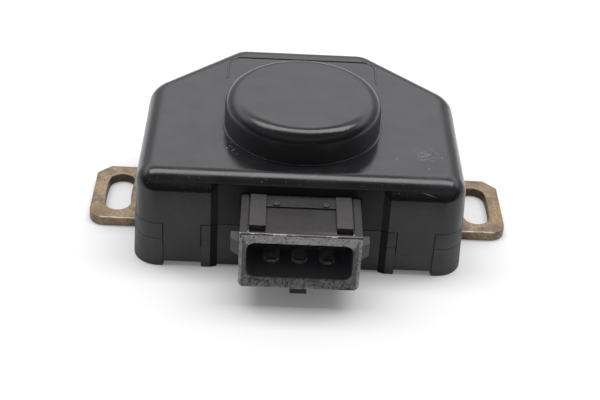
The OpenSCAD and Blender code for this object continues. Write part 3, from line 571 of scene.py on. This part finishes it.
# Plate rivets
# Four steel rivets that clamp the plate to the base: countersunk into the mounting face below,
# upset to a low head on the floor of the base above.


def repeated(name, fastener, places, material):
    """Sets one body at every place with Geometry Nodes, and turns the result into a plain mesh."""
    mesh = bpy.data.meshes.new(name)
    mesh.from_pydata(places, [], [])
    made = placed(name, mesh)
    tree = bpy.data.node_groups.new(name + "_places", "GeometryNodeTree")
    for label, kind in (("Places", "Geometry"), ("Fastener", "Object"), ("Finish", "Material")):
        tree.interface.new_socket(label, in_out="INPUT", socket_type="NodeSocket" + kind)
    tree.interface.new_socket("Geometry", in_out="OUTPUT", socket_type="NodeSocketGeometry")
    given, shape, copies, joined, dressed_as, result = [tree.nodes.new(kind) for kind in (
        "NodeGroupInput", "GeometryNodeObjectInfo", "GeometryNodeInstanceOnPoints",
        "GeometryNodeRealizeInstances", "GeometryNodeSetMaterial", "NodeGroupOutput")]
    for source, plug, user, socket in (
            (given, "Fastener", shape, "Object"), (given, "Places", copies, "Points"),
            (shape, "Geometry", copies, "Instance"), (copies, "Instances", joined, "Geometry"),
            (joined, "Geometry", dressed_as, "Geometry"), (given, "Finish", dressed_as, "Material"),
            (dressed_as, "Geometry", result, "Geometry")):
        tree.links.new(source.outputs[plug], user.inputs[socket])
    step = made.modifiers.new("places", "NODES")
    step.node_group = tree
    sockets = {s.name: s.identifier for s in tree.interface.items_tree if s.in_out == "INPUT"}
    step[sockets["Fastener"]] = fastener
    step[sockets["Finish"]] = material
    applied(made)
    bpy.data.objects.remove(fastener)
    return made


rivet = turned([
    (0, sink_low), (sink_r, sink_low), (rivet_hole_r, sink_top), (rivet_hole_r, floor_top),
    (2.6, floor_top), (2.6, 4.3), (2.3, 4.58), (1.9, 4.78), (1.5, 4.88), (0, 4.9)], count=64)


def upset_steel():
    """Bare steel that the rivet set has hammered: grey, dimpled, with rust in the dimples."""
    sheet = Finish("upset_steel")
    dimples = sheet.noise(900, 3, 0.5)
    fine = sheet.noise(4200, 3, 0.6)
    rust = sheet.ramp(sheet.noise(620, 5, 0.7, shift=(3, 3, 1)), 0.52, 0.66)
    colour = sheet.blend(sheet.ramp(dimples, 0.35, 0.65), (0.3, 0.29, 0.28), (0.48, 0.47, 0.45))
    colour = sheet.over(colour, (0.16, 0.085, 0.045), rust, 0.6)
    rough = sheet.varied(dimples, 0.3, 0.5)
    normal = sheet.bump(sheet.plus(dimples, sheet.times(fine, 0.3)), 0.4, 0.00008)
    metal = sheet.scaled(rust, 1.0, 0.3)
    return sheet.done(colour, rough, normal, metallic=metal)


rivet_finish = upset_steel()
rivets = repeated("plate_rivets_set", rivet, [(x, y, 0) for x, y in rivet_places], rivet_finish)
softened(rivets, 0.08)
finished(rivets, "plate_rivets_set", rivet_finish, "plate_rivets")

# Bearing bush
# A flanged bush of sintered bronze, pressed into the collar of the base. The rotor's hub turns in
# it, and the flange carries the thrust washer.


def copied(node):
    """A solid of the frame as a body to work on, in millimetres, with its seams merged."""
    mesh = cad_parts[node].data.copy()
    mesh.transform(Matrix.Scale(1000, 4))
    if "custom_normal" in mesh.attributes:
        mesh.attributes.remove(mesh.attributes["custom_normal"])
    closed(mesh, 0.001)
    return placed(node + "_body", mesh)


def dressed(node, material):
    """Gives a solid of the frame its finish and leaves its shape alone."""
    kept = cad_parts[node]
    if not kept.material_slots:
        kept.data.materials.append(material)
    for held in kept.material_slots:
        held.material = material


def sintered_bronze():
    """Pressed metal powder: grainy, with open pores and a film of dark oil."""
    sheet = Finish("sintered_bronze")
    powder = sheet.noise(5200, 4, 0.6)
    pores = sheet.ramp(sheet.noise(3400, 2, 0.5, shift=(2, 1, 4)), 0.6, 0.66)
    oil = sheet.ramp(sheet.noise(300, 3, 0.6), 0.4, 0.65)
    colour = sheet.blend(sheet.ramp(powder, 0.35, 0.65), (0.42, 0.28, 0.12), (0.58, 0.42, 0.2))
    colour = sheet.over(colour, (0.2, 0.13, 0.06), oil, 0.35)
    colour = sheet.blend(pores, colour, (0.05, 0.035, 0.02))
    rough = sheet.scaled(oil, 0.45, 0.25)
    normal = sheet.bump(sheet.less(powder, pores), 0.4, 0.00003)
    return sheet.done(colour, rough, normal, metallic=0.9)


dressed("bearing_bush", sintered_bronze())

# Shaft seal
# A moulded lip ring below the bush that keeps fuel vapour and dust out of the housing. It is held
# between the bush and the lip at the bottom of the collar.


def oiled_rubber():
    """Black nitrile rubber, matt where it is dry and shining where the hub has spread its oil."""
    sheet = Finish("oiled_rubber")
    skin = sheet.noise(1800, 4, 0.6)
    wet = sheet.ramp(sheet.noise(420, 3, 0.5, shift=(1, 1, 6)), 0.48, 0.6)
    colour = sheet.blend(skin, (0.016, 0.016, 0.016), (0.03, 0.029, 0.028))
    rough = sheet.scaled(wet, 0.7, 0.35)
    return sheet.done(colour, rough, sheet.bump(skin, 0.3, 0.00004), ior=1.52)


dressed("shaft_seal", oiled_rubber())

# Thrust washer
# A thin ring blanked from hardened steel strip. It lies loose between the flange of the bush and
# the rotor, which rub on it.


def rubbed_strip():
    """Rolled steel with fine circular scratches from the rotor's flange."""
    sheet = Finish("rubbed_strip")
    out = sheet.from_axis()
    rings = sheet.figured("SINE", sheet.times(out, 62000.0))
    spread = sheet.noise(900, 4, 0.6)
    marks = sheet.times(rings, spread)
    colour = sheet.blend(spread, (0.5, 0.49, 0.45), (0.66, 0.64, 0.58))
    rough = sheet.ramp(marks, -0.5, 0.5, False, (0.2, 0.38))
    return sheet.done(colour, rough, sheet.bump(marks, 0.15, 0.00001), metallic=1.0)


dressed("thrust_washer", rubbed_strip())

# Rotor
# Turned by the throttle shaft: one moulding of natural acetal with the drive socket, a flange with
# the stop lug, the neck through the board and the stub that the wiper is keyed to.


def natural_acetal():
    """Creamy white, waxy, with flow lines from the gate and grey polish where it runs."""
    sheet = Finish("natural_acetal")
    flow = sheet.noise(240, 4, 0.6, (1, 1, 0.4))
    fine = sheet.noise(3000, 3, 0.6)
    colour = sheet.blend(sheet.ramp(flow, 0.3, 0.7), (0.62, 0.58, 0.47), (0.72, 0.69, 0.6))
    running = sheet.ramp(sheet.z, 0.0092, 0.0085)
    colour = sheet.blend(sheet.times(running, sheet.ramp(fine, 0.4, 0.7)), colour, (0.42, 0.4, 0.35))
    rough = sheet.scaled(running, 0.42, 0.28)
    return sheet.done(colour, rough, sheet.bump(fine, 0.2, 0.00003), ior=1.48)


rotor = softened(copied("rotor"), 0.15, 50)
finished(rotor, "rotor_moulding", natural_acetal(), "rotor", "rotor_group")

# Plug header
# A separate brownish moulding set into the front wall: a three-way socket with guide rails on
# top, lugs at the sides for the plug's wire clip and a key below. Its rim is worn pale, paler still with
# painted light.

header_half, header_low, header_high, header_r = 10.85, 4.5, 16.2, 1.0
rim, flange_front, header_back = -32.25, -17.15, -15.75
flange_half, flange_low, flange_top, key_half, key_low, key_long = 12.45, 4.1, 16.95, 1.525, 3.25, 7
socket_w, socket_h, socket_z, socket_r = 19.1, 7.5, 9.55, 1.6
rail_in, rail_out, rail_front, rail_back, rail_top = 6.3, 9.2, -30, -20.2, 16.5
lug_in, lug_out, lug_back, lug_low, lug_top = 9.85, 12.5, -26.5, 9.5, 12.5
deck_back, notch_front, above_all = -23.55, -31.7, 17.2
blade_half, blade_low, blade_top, pitch, resin_half, resin_low, resin_top = 1.4, 8.4, 9.2, 5, 7.4, 6.8, 10.8


def rounded_ring(width, height, middle, r, y):
    """A rounded rectangle facing the front, as a ring of points."""
    ring = []
    for cx, cz, start in ((1, 1, 0), (-1, 1, 90), (-1, -1, 180), (1, -1, 270)):
        corner = arc(cx * (width / 2 - r), middle + cz * (height / 2 - r), r, start, start + 90, 8)
        ring += [(x, y, z) for x, z in corner]
    return ring


def socket_ring(y):
    return rounded_ring(socket_w, socket_h, socket_z, socket_r, y)


def header_ring(y):
    """The header's section: square corners above, round ones below."""
    ring = [(header_half, y, header_high), (-header_half, y, header_high)]
    for side, start in ((-1, 180), (1, 270)):
        corner = arc(side * (header_half - header_r), header_low + header_r, header_r, start, start + 90, 8)
        ring += [(x, y, z) for x, z in corner]
    return ring


# Body with its inner flange and the key below, then a lug and a rail at each side
header = stacked("header_moulding", [header_ring(rim), header_ring(header_back)])
fused(header, block(-flange_half, flange_half, flange_front, header_back, flange_low, flange_top),
      block(-key_half, key_half, rim, rim + key_long, key_low, header_low + 0.5))
for side in (-1, 1):
    lug = [(lug_in, rail_front), (header_half, rail_front), (lug_out, -28.35), (lug_out, lug_back),
           (lug_in, lug_back)]
    rail = block(*sorted((side * rail_in, side * rail_out)), rail_front, rail_back, 15.7, rail_top)
    fused(header, prism([(side * x, y) for x, y in lug], lug_low, lug_top), rail)
# Sloping deck between the rails, notches before them and fine grooves beside them
cut(header, stacked("deck", [
    [(x, rim - 1, 16.15), (x, deck_back, 15.85), (x, deck_back, above_all), (x, rim - 1, above_all)]
    for x in (-rail_in, rail_in)]))
for side in (-1, 1):
    cut(header, block(*sorted((side * rail_in, side * rail_out)), notch_front, rail_front, 15.3, above_all),
        block(*sorted((side * rail_out, side * 9.45)), notch_front, rail_back, 15.9, above_all))
# Socket, its lead-in, the ways of the blades, the pocket of the resin and the nubs on the deck's shelf
cut(header, stacked("socket", [socket_ring(rim - 1), socket_ring(rim + 10)]))
cut(header, stacked("lead_in", [
    rounded_ring(20.84, 11.65, 10.27, 0.3, rim - 0.1), rounded_ring(20.7, 11.3, 10.25, 0.35, rim),
    socket_ring(rim + 1.2), socket_ring(rim + 1.6)]))
cut(header, *[
    block(i * pitch - blade_half, i * pitch + blade_half, -23.25, -14.75, blade_low, blade_top)
    for i in (-1, 0, 1)])
cut(header, block(-resin_half, resin_half, flange_front, -10, resin_low, resin_top))
fused(header, *[pin(x, -22.8, 0.65, 15.7, 16.45, 32) for x in (-4.5, 4.5)])
softened(header, 0.1)


def header_plastic():
    """Dull brownish grey, bleached and scraped pale along the rim and socket mouth, with painted light and
    shade.
    """
    sheet = Finish("header_plastic")
    grain = sheet.noise(2200, 4, 0.65)
    broad = sheet.noise(300, 4, 0.6)
    across = sheet.ramp(sheet.aside(), 0.01075, 0.0105)
    between = sheet.band(sheet.z, 0.0045, 0.00465, 0.0159, 0.0161)
    mouth = sheet.times(across, between, sheet.ramp(sheet.y, -0.0307, -0.0312))
    front_face = sheet.times(sheet.ramp(sheet.y, -0.0318, -0.03215), sheet.ramp(sheet.z, 0.0042, 0.0046))
    rim_wear_and_light = sheet.most(mouth, front_face)
    mottle = sheet.ramp(sheet.noise(620, 5, 0.7, (1, 1, 1.4)), 0.36, 0.62)
    worn_and_lit = sheet.times(rim_wear_and_light, sheet.scaled(mottle, 0.72, 1.0))
    colour = sheet.blend(sheet.ramp(broad, 0.3, 0.7), (0.021, 0.0195, 0.02), (0.031, 0.029, 0.03))
    rails = sheet.ramp(sheet.z, 0.01625, 0.01635)
    colour = sheet.over(colour, (0.062, 0.057, 0.06), rails, 0.5)
    # Painted light inside the socket, and lugs paled by the wire clip
    inside = sheet.times(across, between, sheet.ramp(sheet.y, -0.0313, -0.0308),
                         sheet.ramp(sheet.y, -0.0185, -0.019), sheet.ramp(sheet.z, 0.0136, 0.0133))
    colour = sheet.over(colour, (0.16, 0.168, 0.182), inside, 0.9)
    lugs = sheet.ramp(sheet.aside(), 0.0109, 0.0112)
    lugs = sheet.times(lugs, sheet.ramp(sheet.y, -0.026, -0.0264))
    colour = sheet.over(colour, (0.11, 0.105, 0.105), lugs, 0.8)
    # The pale wear is lifted further by painted light, most on the sloping face above the socket; its floor
    # is darker and speckled
    above = sheet.ramp(sheet.z, 0.0125, 0.0138)
    pale = sheet.blend(above, (0.56, 0.545, 0.545), (0.7, 0.67, 0.665))
    colour = sheet.over(colour, pale, worn_and_lit, 0.95)
    # Painted shade on the slopes beside the socket and its corners, a broken dark line on the top edge, and
    # chips
    widened = sheet.times(sheet.plus(sheet.y, 0.03105), -0.667)
    beside = sheet.less(sheet.aside(), widened)
    slopes = sheet.times(sheet.ramp(beside, 0.0093, 0.00953), sheet.ramp(sheet.y, -0.0322, -0.0321))
    colour = sheet.over(colour, (0.2, 0.194, 0.196), sheet.times(slopes, mouth), 0.7)
    top_edge = sheet.band(sheet.z, 0.01585, 0.01592, 0.0163, 0.0164)
    broken = sheet.ramp(sheet.noise(900, 4, 0.7, shift=(5, 1, 1)), 0.6, 0.5, out=(0.25, 0.95))
    colour = sheet.over(colour, (0.035, 0.032, 0.032), sheet.times(top_edge, rim_wear_and_light), broken)
    chips = sheet.ramp(sheet.noise(2300, 2, 0.5, shift=(9, 3, 4)), 0.58, 0.64)
    colour = sheet.over(colour, (0.03, 0.027, 0.027), sheet.times(chips, rim_wear_and_light), 0.75)
    seat = sheet.ramp(sheet.z, 0.0062, 0.0058)
    specks = sheet.ramp(sheet.noise(2000, 4, 0.7, shift=(2, 9, 6)), 0.42, 0.6)
    colour = sheet.over(colour, (0.09, 0.086, 0.087), sheet.times(seat, specks, mouth), 0.65)
    scrapes = sheet.ramp(sheet.noise(1500, 4, 0.7, (1, 0.4, 1), (2, 6, 1)), 0.63, 0.72)
    colour = sheet.over(colour, (0.2, 0.19, 0.18), scrapes, 0.3)
    rough = sheet.varied(sheet.noise(700, 3, 0.6), 0.45, 0.6)
    pitted = sheet.times(mottle, sheet.times(rim_wear_and_light, 0.8))
    normal = sheet.bump(sheet.plus(grain, pitted), 0.4, 0.00005)
    return sheet.done(colour, rough, normal, shine=0.3)


finished(header, "header_moulding", header_plastic(), "connector_shell")

# Terminals
# Three blades stamped from 0.8 mm brass sheet and tin plated, pressed through the header's floor
# and bent up to the board. Their tips are bevelled, so that they start easily in the plug.


def dull_tin():
    """Tin that has gone dull grey, darkest in the socket, with draw lines."""
    sheet = Finish("dull_tin")
    lines = sheet.noise(1500, 4, 0.6, (3, 0.15, 1))
    tarnish = sheet.ramp(sheet.noise(800, 4, 0.65, shift=(2, 0, 5)), 0.4, 0.62)
    colour = sheet.blend(sheet.ramp(lines, 0.35, 0.65), (0.19, 0.2, 0.19), (0.26, 0.27, 0.255))
    colour = sheet.over(colour, (0.06, 0.063, 0.055), tarnish, 0.6)
    # The blade tips near the socket's mouth are darker
    darker_tips = sheet.ramp(sheet.y, -0.0293, -0.0299)
    colour = sheet.over(colour, (0.02, 0.02, 0.019), darker_tips, 0.85)
    rough = sheet.scaled(tarnish, 0.36, 0.55)
    return sheet.done(colour, rough, sheet.bump(lines, 0.25, 0.00002), metallic=0.45)


blade_finish = dull_tin()
for node in ("terminal_left", "terminal_centre", "terminal_right"):
    finished(softened(copied(node), 0.1, 40), node + "_blade", blade_finish, node)

# Terminal resin
# Black casting resin, poured into the pocket behind the header and left to set. It seals the three
# terminals and holds them.


def cast_resin():
    """Black epoxy: glossy, with small craters where bubbles broke."""
    sheet = Finish("cast_resin")
    swirl = sheet.noise(300, 3, 0.5)
    bubbles = sheet.ramp(sheet.noise(1900, 1, 0.4, shift=(6, 2, 2)), 0.66, 0.72)
    colour = sheet.blend(swirl, (0.012, 0.012, 0.013), (0.022, 0.021, 0.022))
    rough = sheet.varied(swirl, 0.12, 0.22)
    normal = sheet.bump(sheet.less(swirl, bubbles), 0.4, 0.0001)
    return sheet.done(colour, rough, normal, ior=1.55)


dressed("terminal_resin", cast_resin())

# Header gasket
# A flat frame cut from soft rubber sheet and slipped over the header. It is squeezed between the
# header's inner flange and the front wall.


def pressed_rubber():
    """Matt black rubber with talc left on its faces."""
    sheet = Finish("pressed_rubber")
    skin = sheet.noise(2400, 4, 0.6)
    talc = sheet.ramp(sheet.noise(700, 5, 0.7, shift=(2, 8, 1)), 0.5, 0.72)
    colour = sheet.blend(skin, (0.02, 0.02, 0.02), (0.034, 0.034, 0.033))
    colour = sheet.over(colour, (0.2, 0.2, 0.19), talc, 0.25)
    rough = sheet.scaled(talc, 0.6, 0.8)
    return sheet.done(colour, rough, sheet.bump(skin, 0.35, 0.00005))


dressed("header_gasket", pressed_rubber())

# Resistor board
# Glass laminate on the base's pillars. Silver leads and the carbon track that the wiper reads are
# printed on its upper face.


def printed_laminate():
    """Green laminate with its glass weave showing, silver ink leads and a matt carbon track."""
    sheet = Finish("printed_laminate")
    warp = sheet.figured("SINE", sheet.times(sheet.x, 9000.0))
    weft = sheet.figured("SINE", sheet.times(sheet.y, 9000.0))
    weave = sheet.ramp(sheet.times(warp, weft), -0.8, 0.8)
    broad = sheet.noise(260, 4, 0.6)
    colour = sheet.blend(weave, (0.045, 0.12, 0.055), (0.06, 0.155, 0.072))
    colour = sheet.over(colour, (0.075, 0.15, 0.05), broad, 0.4)
    printed = sheet.ramp(sheet.z, 0.01581, 0.01583)
    out = sheet.from_axis()
    carbon = sheet.times(sheet.ramp(out, 0.0096, 0.0099), sheet.ramp(sheet.y, 0.006, 0.0064))
    flakes = sheet.noise(4200, 3, 0.6)
    ink = sheet.blend(flakes, (0.4, 0.4, 0.39), (0.6, 0.6, 0.58))
    ink = sheet.blend(carbon, ink, (0.012, 0.012, 0.012))
    colour = sheet.blend(printed, colour, ink)
    rough = sheet.blend(printed, (0.32, 0.32, 0.32), (0.48, 0.48, 0.48))
    metal = sheet.times(printed, sheet.less(0.7, sheet.times(carbon, 0.7)))
    return sheet.done(colour, rough, sheet.bump(weave, 0.15, 0.00002), metallic=metal)


dressed("resistor_board", printed_laminate())

# Board screws
# Four cross-recessed pan head screws for plastics, rolled from steel wire and zinc plated. They cut
# their own thread in the pillars and hold the board down.

thread_low, thread_pitch, core_r, shank_r, head_r, head_low = 9.2, 0.24, 0.78, 0.85, 2.0, 15.8
thread = [(0, thread_low), (0.55, thread_low)]
for i in range(20):
    thread += [(core_r, 9.4 + i * thread_pitch), (screw_hole_r, 9.52 + i * thread_pitch)]
screw = turned(thread + [
    (shank_r, pillar_top), (shank_r, head_low), (head_r, head_low), (head_r, 16.4), (1.86, 16.62),
    (1.66, 16.84), (1.4, 17.0), (0, 17.0)], count=48)
cross = fused(block(-1, 1, -0.25, 0.25, 16.2, 17.5), block(-0.25, 0.25, -1, 1, 16.2, 17.5))
cut(screw, cross)


def zinc_plate():
    """Bright zinc, slightly blue, scratched by the driver round the recess."""
    sheet = Finish("zinc_plate")
    broad = sheet.noise(500, 3, 0.5)
    scratches = sheet.ramp(sheet.noise(2600, 4, 0.7, (1, 5, 1)), 0.6, 0.7)
    colour = sheet.blend(broad, (0.52, 0.54, 0.58), (0.66, 0.67, 0.69))
    colour = sheet.over(colour, (0.35, 0.35, 0.35), scratches, 0.4)
    rough = sheet.varied(broad, 0.22, 0.36)
    normal = sheet.bump(sheet.less(broad, scratches), 0.2, 0.00003)
    return sheet.done(colour, rough, normal, metallic=1.0)


screw_finish = zinc_plate()
screws = repeated("board_screws_set", screw, [(x, y, 0) for x, y in pillars], screw_finish)
finished(screws, "board_screws_set", screw_finish, "board_screws")

# Solder joints
# Cones of tin solder, made once the board is screwed down. They wet the pads of the board and the
# three terminal legs.


def bright_solder():
    """Tin solder with a slightly frosted skin and amber flux left round it."""
    sheet = Finish("bright_solder")
    frost = sheet.noise(1700, 4, 0.6)
    flux = sheet.times(sheet.ramp(sheet.z, 0.0162, 0.0158), sheet.ramp(frost, 0.45, 0.6))
    colour = sheet.blend(frost, (0.6, 0.61, 0.63), (0.74, 0.75, 0.76))
    colour = sheet.over(colour, (0.4, 0.25, 0.08), flux, 0.7)
    rough = sheet.varied(frost, 0.14, 0.34)
    metal = sheet.scaled(flux, 1, 0.4)
    return sheet.done(colour, rough, sheet.bump(frost, 0.25, 0.00004), metallic=metal)


dressed("solder_joints", bright_solder())

# Wiper carrier
# An arm moulded in glass-filled nylon, keyed to the flat of the rotor's stub. It carries the brush
# on its lower face.


def filled_nylon():
    """Dark green-black nylon with short pale glass fibres in its skin."""
    sheet = Finish("filled_nylon")
    fibres = sheet.ramp(sheet.noise(3600, 3, 0.7, (1, 6, 1), turn=(0, 0, 0.5)), 0.62, 0.72)
    broad = sheet.noise(350, 3, 0.5)
    colour = sheet.blend(broad, (0.03, 0.042, 0.036), (0.045, 0.06, 0.052))
    colour = sheet.over(colour, (0.22, 0.24, 0.22), fibres, 0.3)
    rough = sheet.varied(broad, 0.42, 0.55)
    return sheet.done(colour, rough, sheet.bump(fibres, 0.2, 0.00002))


carrier = softened(copied("wiper_carrier"), 0.15, 50)
finished(carrier, "wiper_carrier_arm", filled_nylon(), "wiper_carrier", "rotor_group")

# Wiper spring and its rivets
# The brush is cut from 0.2 mm precious metal spring strip. Two fingers reach down to the tracks,
# and two small rivets through the carrier hold it.


def spring_alloy():
    """Pale gold alloy with rolling lines and darker, oily patches."""
    sheet = Finish("spring_alloy")
    lines = sheet.noise(2200, 4, 0.6, (0.15, 4, 1), turn=(0, 0, 0.37))
    oily = sheet.ramp(sheet.noise(700, 3, 0.6, shift=(1, 4, 2)), 0.45, 0.65)
    colour = sheet.blend(lines, (0.62, 0.48, 0.22), (0.76, 0.62, 0.34))
    colour = sheet.over(colour, (0.4, 0.3, 0.14), oily, 0.3)
    rough = sheet.varied(lines, 0.2, 0.34)
    return sheet.done(colour, rough, sheet.bump(lines, 0.15, 0.00001), metallic=1.0)


brush_finish = spring_alloy()
dressed("wiper_spring", brush_finish)
dressed("wiper_rivets", brush_finish)

# Retaining ring
# A push-on ring stamped from spring steel. It bites the rotor's stub and keeps the carrier down.


def blued_spring():
    """Hardened spring steel with the brown to blue colours of its tempering."""
    sheet = Finish("blued_spring")
    heat = sheet.noise(520, 3, 0.5)
    fine = sheet.noise(3800, 3, 0.6)
    colour = sheet.blend(sheet.ramp(heat, 0.38, 0.62), (0.2, 0.17, 0.14), (0.16, 0.18, 0.25))
    rough = sheet.varied(fine, 0.22, 0.36)
    return sheet.done(colour, rough, sheet.bump(fine, 0.2, 0.00002), metallic=1.0)


spring_finish = blued_spring()
dressed("retaining_ring", spring_finish)

# Preload spring
# A washer of spring steel, pressed to a cone. It sits between the cover's spigot and the ring and
# takes up the end play.

dressed("preload_spring", spring_finish)

# Cover seal
# A cord of rubber laid on the lip of the base, open in front where the header is. The cover
# squeezes it when it snaps down.


def cord_rubber():
    """Matt black cord rubber with fine extrusion lines and a little grease."""
    sheet = Finish("cord_rubber")
    lines = sheet.noise(2000, 3, 0.6, (1, 1, 6))
    grease = sheet.ramp(sheet.noise(380, 3, 0.5, shift=(3, 2, 2)), 0.5, 0.62)
    colour = sheet.blend(lines, (0.018, 0.018, 0.018), (0.03, 0.03, 0.03))
    rough = sheet.scaled(grease, 0.65, 0.3)
    return sheet.done(colour, rough, sheet.bump(lines, 0.3, 0.00003))


dressed("cover_seal", cord_rubber())

# Cover
# The satin black cap over the works, moulded in one piece with the round boss that houses the end
# of the rotor, the raised frame line behind it and three tongues that drop into the base.

top_z, ceiling_z, rebate_z, rebate_gap, top_fillet = 19.7, 17.3, 12.5, 16.5, 3.7
boss_r, boss_top, boss_fillet, boss_foot, foot_z = 15.0, 26.25, 2.8, 0.45, 19.925
boss_low, boss_wall = 18.0, 2.1
dome_z, spigot_r, spigot_low, spigot_bore, bore_top = 24.15, 5.24, 20.55, 3.04, 23.55
frame_half, frame_back, frame_corner, frame_width, frame_end = 15.4, 25.6, 3.0, 0.5, 16.4

rings = [housing_ring(0, tongue_z), housing_ring(0, shoulder_z)]
for i in range(1, 19):
    a = math.radians(5 * i)
    rings.append(housing_ring(top_fillet * (1 - math.cos(a)),
                              top_z - top_fillet + top_fillet * math.sin(a)))
cover = stacked("cover_moulding", rings)
foot_r = boss_r + boss_foot
boss_profile = [(0, boss_low), (foot_r, boss_low), (foot_r, foot_z), (boss_r, foot_z)]
boss_profile += arc(boss_r - boss_fillet, boss_top - boss_fillet, boss_fillet, 0, 90, 18)
fused(cover, turned(boss_profile + [(0, boss_top)], count=192))


def frame_outline(inset, z, end=frame_end):
    """A rounded frame line at one height, open towards the front."""
    half, back, r = frame_half - inset, frame_back - inset, frame_corner - inset
    bends = arc(half - r, back - r, r, 0, 90, 8) + arc(r - half, back - r, r, 90, 180, 8)
    return [(half, end, z)] + [(x, y, z) for x, y in bends] + [(-half, end, z)]


def frame_band(margin, z, end=frame_end):
    """The frame line's outer outline and its inner one, drawn in by a margin."""
    return frame_outline(margin, z, end) + frame_outline(frame_width - margin, z, end)[::-1]


# Everything below the seam goes, apart from the tongues
t0, t1 = tongue_x - tongue_half, tongue_x + tongue_half
cut(cover, prism(
    [(-far, -far), (-t1, -far), (-t1, front_in), (-t0, front_in), (-t0, -far), (t0, -far), (t0, front_in),
     (t1, front_in), (t1, -far), (far, -far), (far, far), (tongue_half, far), (tongue_half, back_in),
     (-tongue_half, back_in), (-tongue_half, far), (-far, far)], -1, seam_z))
# Step for the base's lip, hollow, dome in the boss, recessed panel and the header's opening
rebate = housing_block(skirt, tongue_z - 1, rebate_z)
cut(rebate, block(-rebate_gap, rebate_gap, -far, 0, seam_z, far))
cut(cover, rebate, housing_block(wall, seam_z - 1, ceiling_z),
    pin(0, 0, boss_r - boss_wall, ceiling_z - 1, dome_z, 96), panel_cut(seam_z - 1, top_z + 1),
    block(-hole_half, hole_half, -far, hole_back, 0, hole_top))
fused(cover, pin(0, 0, spigot_r, spigot_low, dome_z + 0.5, 64))
cut(cover, pin(0, 0, spigot_bore, spigot_low - 1.05, bore_top, 64))
softened(cover, 0.14)
fused(cover, stacked("frame_line", [
    frame_band(0, top_z - 0.5), frame_band(0, top_z + 0.05), frame_band(0.12, top_z + 0.15, 17.2)]))


def cover_plastic():
    """Satin black, polished by handling: faint orange peel, hazy scuffs, dust and hairlines."""
    sheet = Finish("cover_plastic")
    peel = sheet.noise(520, 2, 0.5)
    fine = sheet.noise(3600, 3, 0.6)
    broad = sheet.noise(70, 4, 0.6)
    haze = sheet.ramp(broad, 0.42, 0.72)
    # Scuffs, specks and a nick on the right, a small patch of dust on the left, a hairline in front
    scuffs = sheet.times(sheet.near((0.0231, -0.0096, 0.0197), (0.0034, 0.0032, 0.002)),
                         sheet.ramp(sheet.noise(1500, 5, 0.7, (1, 3, 1)), 0.5, 0.61))
    for place in ((0.0177, -0.0114, 0.0197), (0.0262, -0.0105, 0.0197), (0.02345, -0.0145, 0.0197)):
        scuffs = sheet.most(scuffs, sheet.times(sheet.near(place, (0.00024, 0.0004, 0.0005)), 0.5))
    nick = sheet.near((0.02926, -0.00634, 0.01876), (0.0006, 0.00035, 0.0007))
    patch = sheet.times(sheet.near((-0.0131, -0.01, 0.0197), (0.0022, 0.0034, 0.002), (0, 0, 0.5)),
                        sheet.ramp(sheet.noise(2600, 3, 0.6, shift=(1, 5, 0)), 0.6, 0.66))
    hairline = sheet.near((0.0233, -0.02016, 0.0177), (0.0018, 0.00016, 0.00011), (0, 0.26, -0.14))
    fluff = sheet.ramp(sheet.noise(3300, 1, 0.4, shift=(4, 2, 7)), 0.75, 0.78)
    before_boss = sheet.times(sheet.ramp(sheet.y, -0.0105, -0.0165), sheet.ramp(sheet.z, 0.0168, 0.0178))
    dust = sheet.times(fluff, sheet.plus(sheet.times(before_boss, 0.7), 0.08))
    marks = sheet.most(scuffs, patch, hairline)
    colour = sheet.blend(haze, (0.0095, 0.0092, 0.0104), (0.0165, 0.0158, 0.0175))
    out = sheet.from_axis()
    side = sheet.times(sheet.ramp(sheet.z, 0.0198, 0.0202), sheet.ramp(out, 0.01485, 0.01497))
    colour = sheet.blend(side, colour, (0.034, 0.0335, 0.037))
    painted_recess_shade = panel_sides(sheet)
    # Painted shade on the sloping walls of the recess round the header, with less shine there
    colour = sheet.over(colour, (0.008, 0.0078, 0.0085), painted_recess_shade, 0.85)
    colour = sheet.over(colour, (0.34, 0.33, 0.31), marks, 0.5)
    colour = sheet.over(colour, (0.004, 0.004, 0.004), nick, 0.9)
    colour = sheet.over(colour, (0.3, 0.29, 0.29), dust, 0.5)
    # The side of the boss and the recessed panel keep the dull grain of the mould
    panel = sheet.times(sheet.ramp(sheet.aside(), 0.0152, 0.0151),
                        sheet.ramp(sheet.y, -0.01995, -0.02005), sheet.ramp(sheet.z, 0.0186, 0.0182))
    side = sheet.most(side, sheet.times(panel, 0.8))
    streaks = sheet.noise(160, 5, 0.65, (1, 2.2, 1), turn=(0, 0, 0.4))
    rough = sheet.ramp(sheet.plus(sheet.times(broad, 0.5), sheet.times(streaks, 0.5)),
                       0.35, 0.68, out=(0.13, 0.26))
    rough = sheet.plus(rough, sheet.times(side, 0.3), sheet.times(sheet.most(marks, dust), 0.3))
    skin = sheet.plus(sheet.times(peel, 0.8), sheet.times(fine, 0.6), sheet.times(marks, 0.6))
    normal = sheet.bump(skin, 0.45, 0.00003)
    return sheet.done(colour, rough, normal, shine=sheet.scaled(sheet.most(painted_recess_shade, nick), 0.5, 0.12))


finished(cover, "cover_moulding", cover_plastic(), "cover")
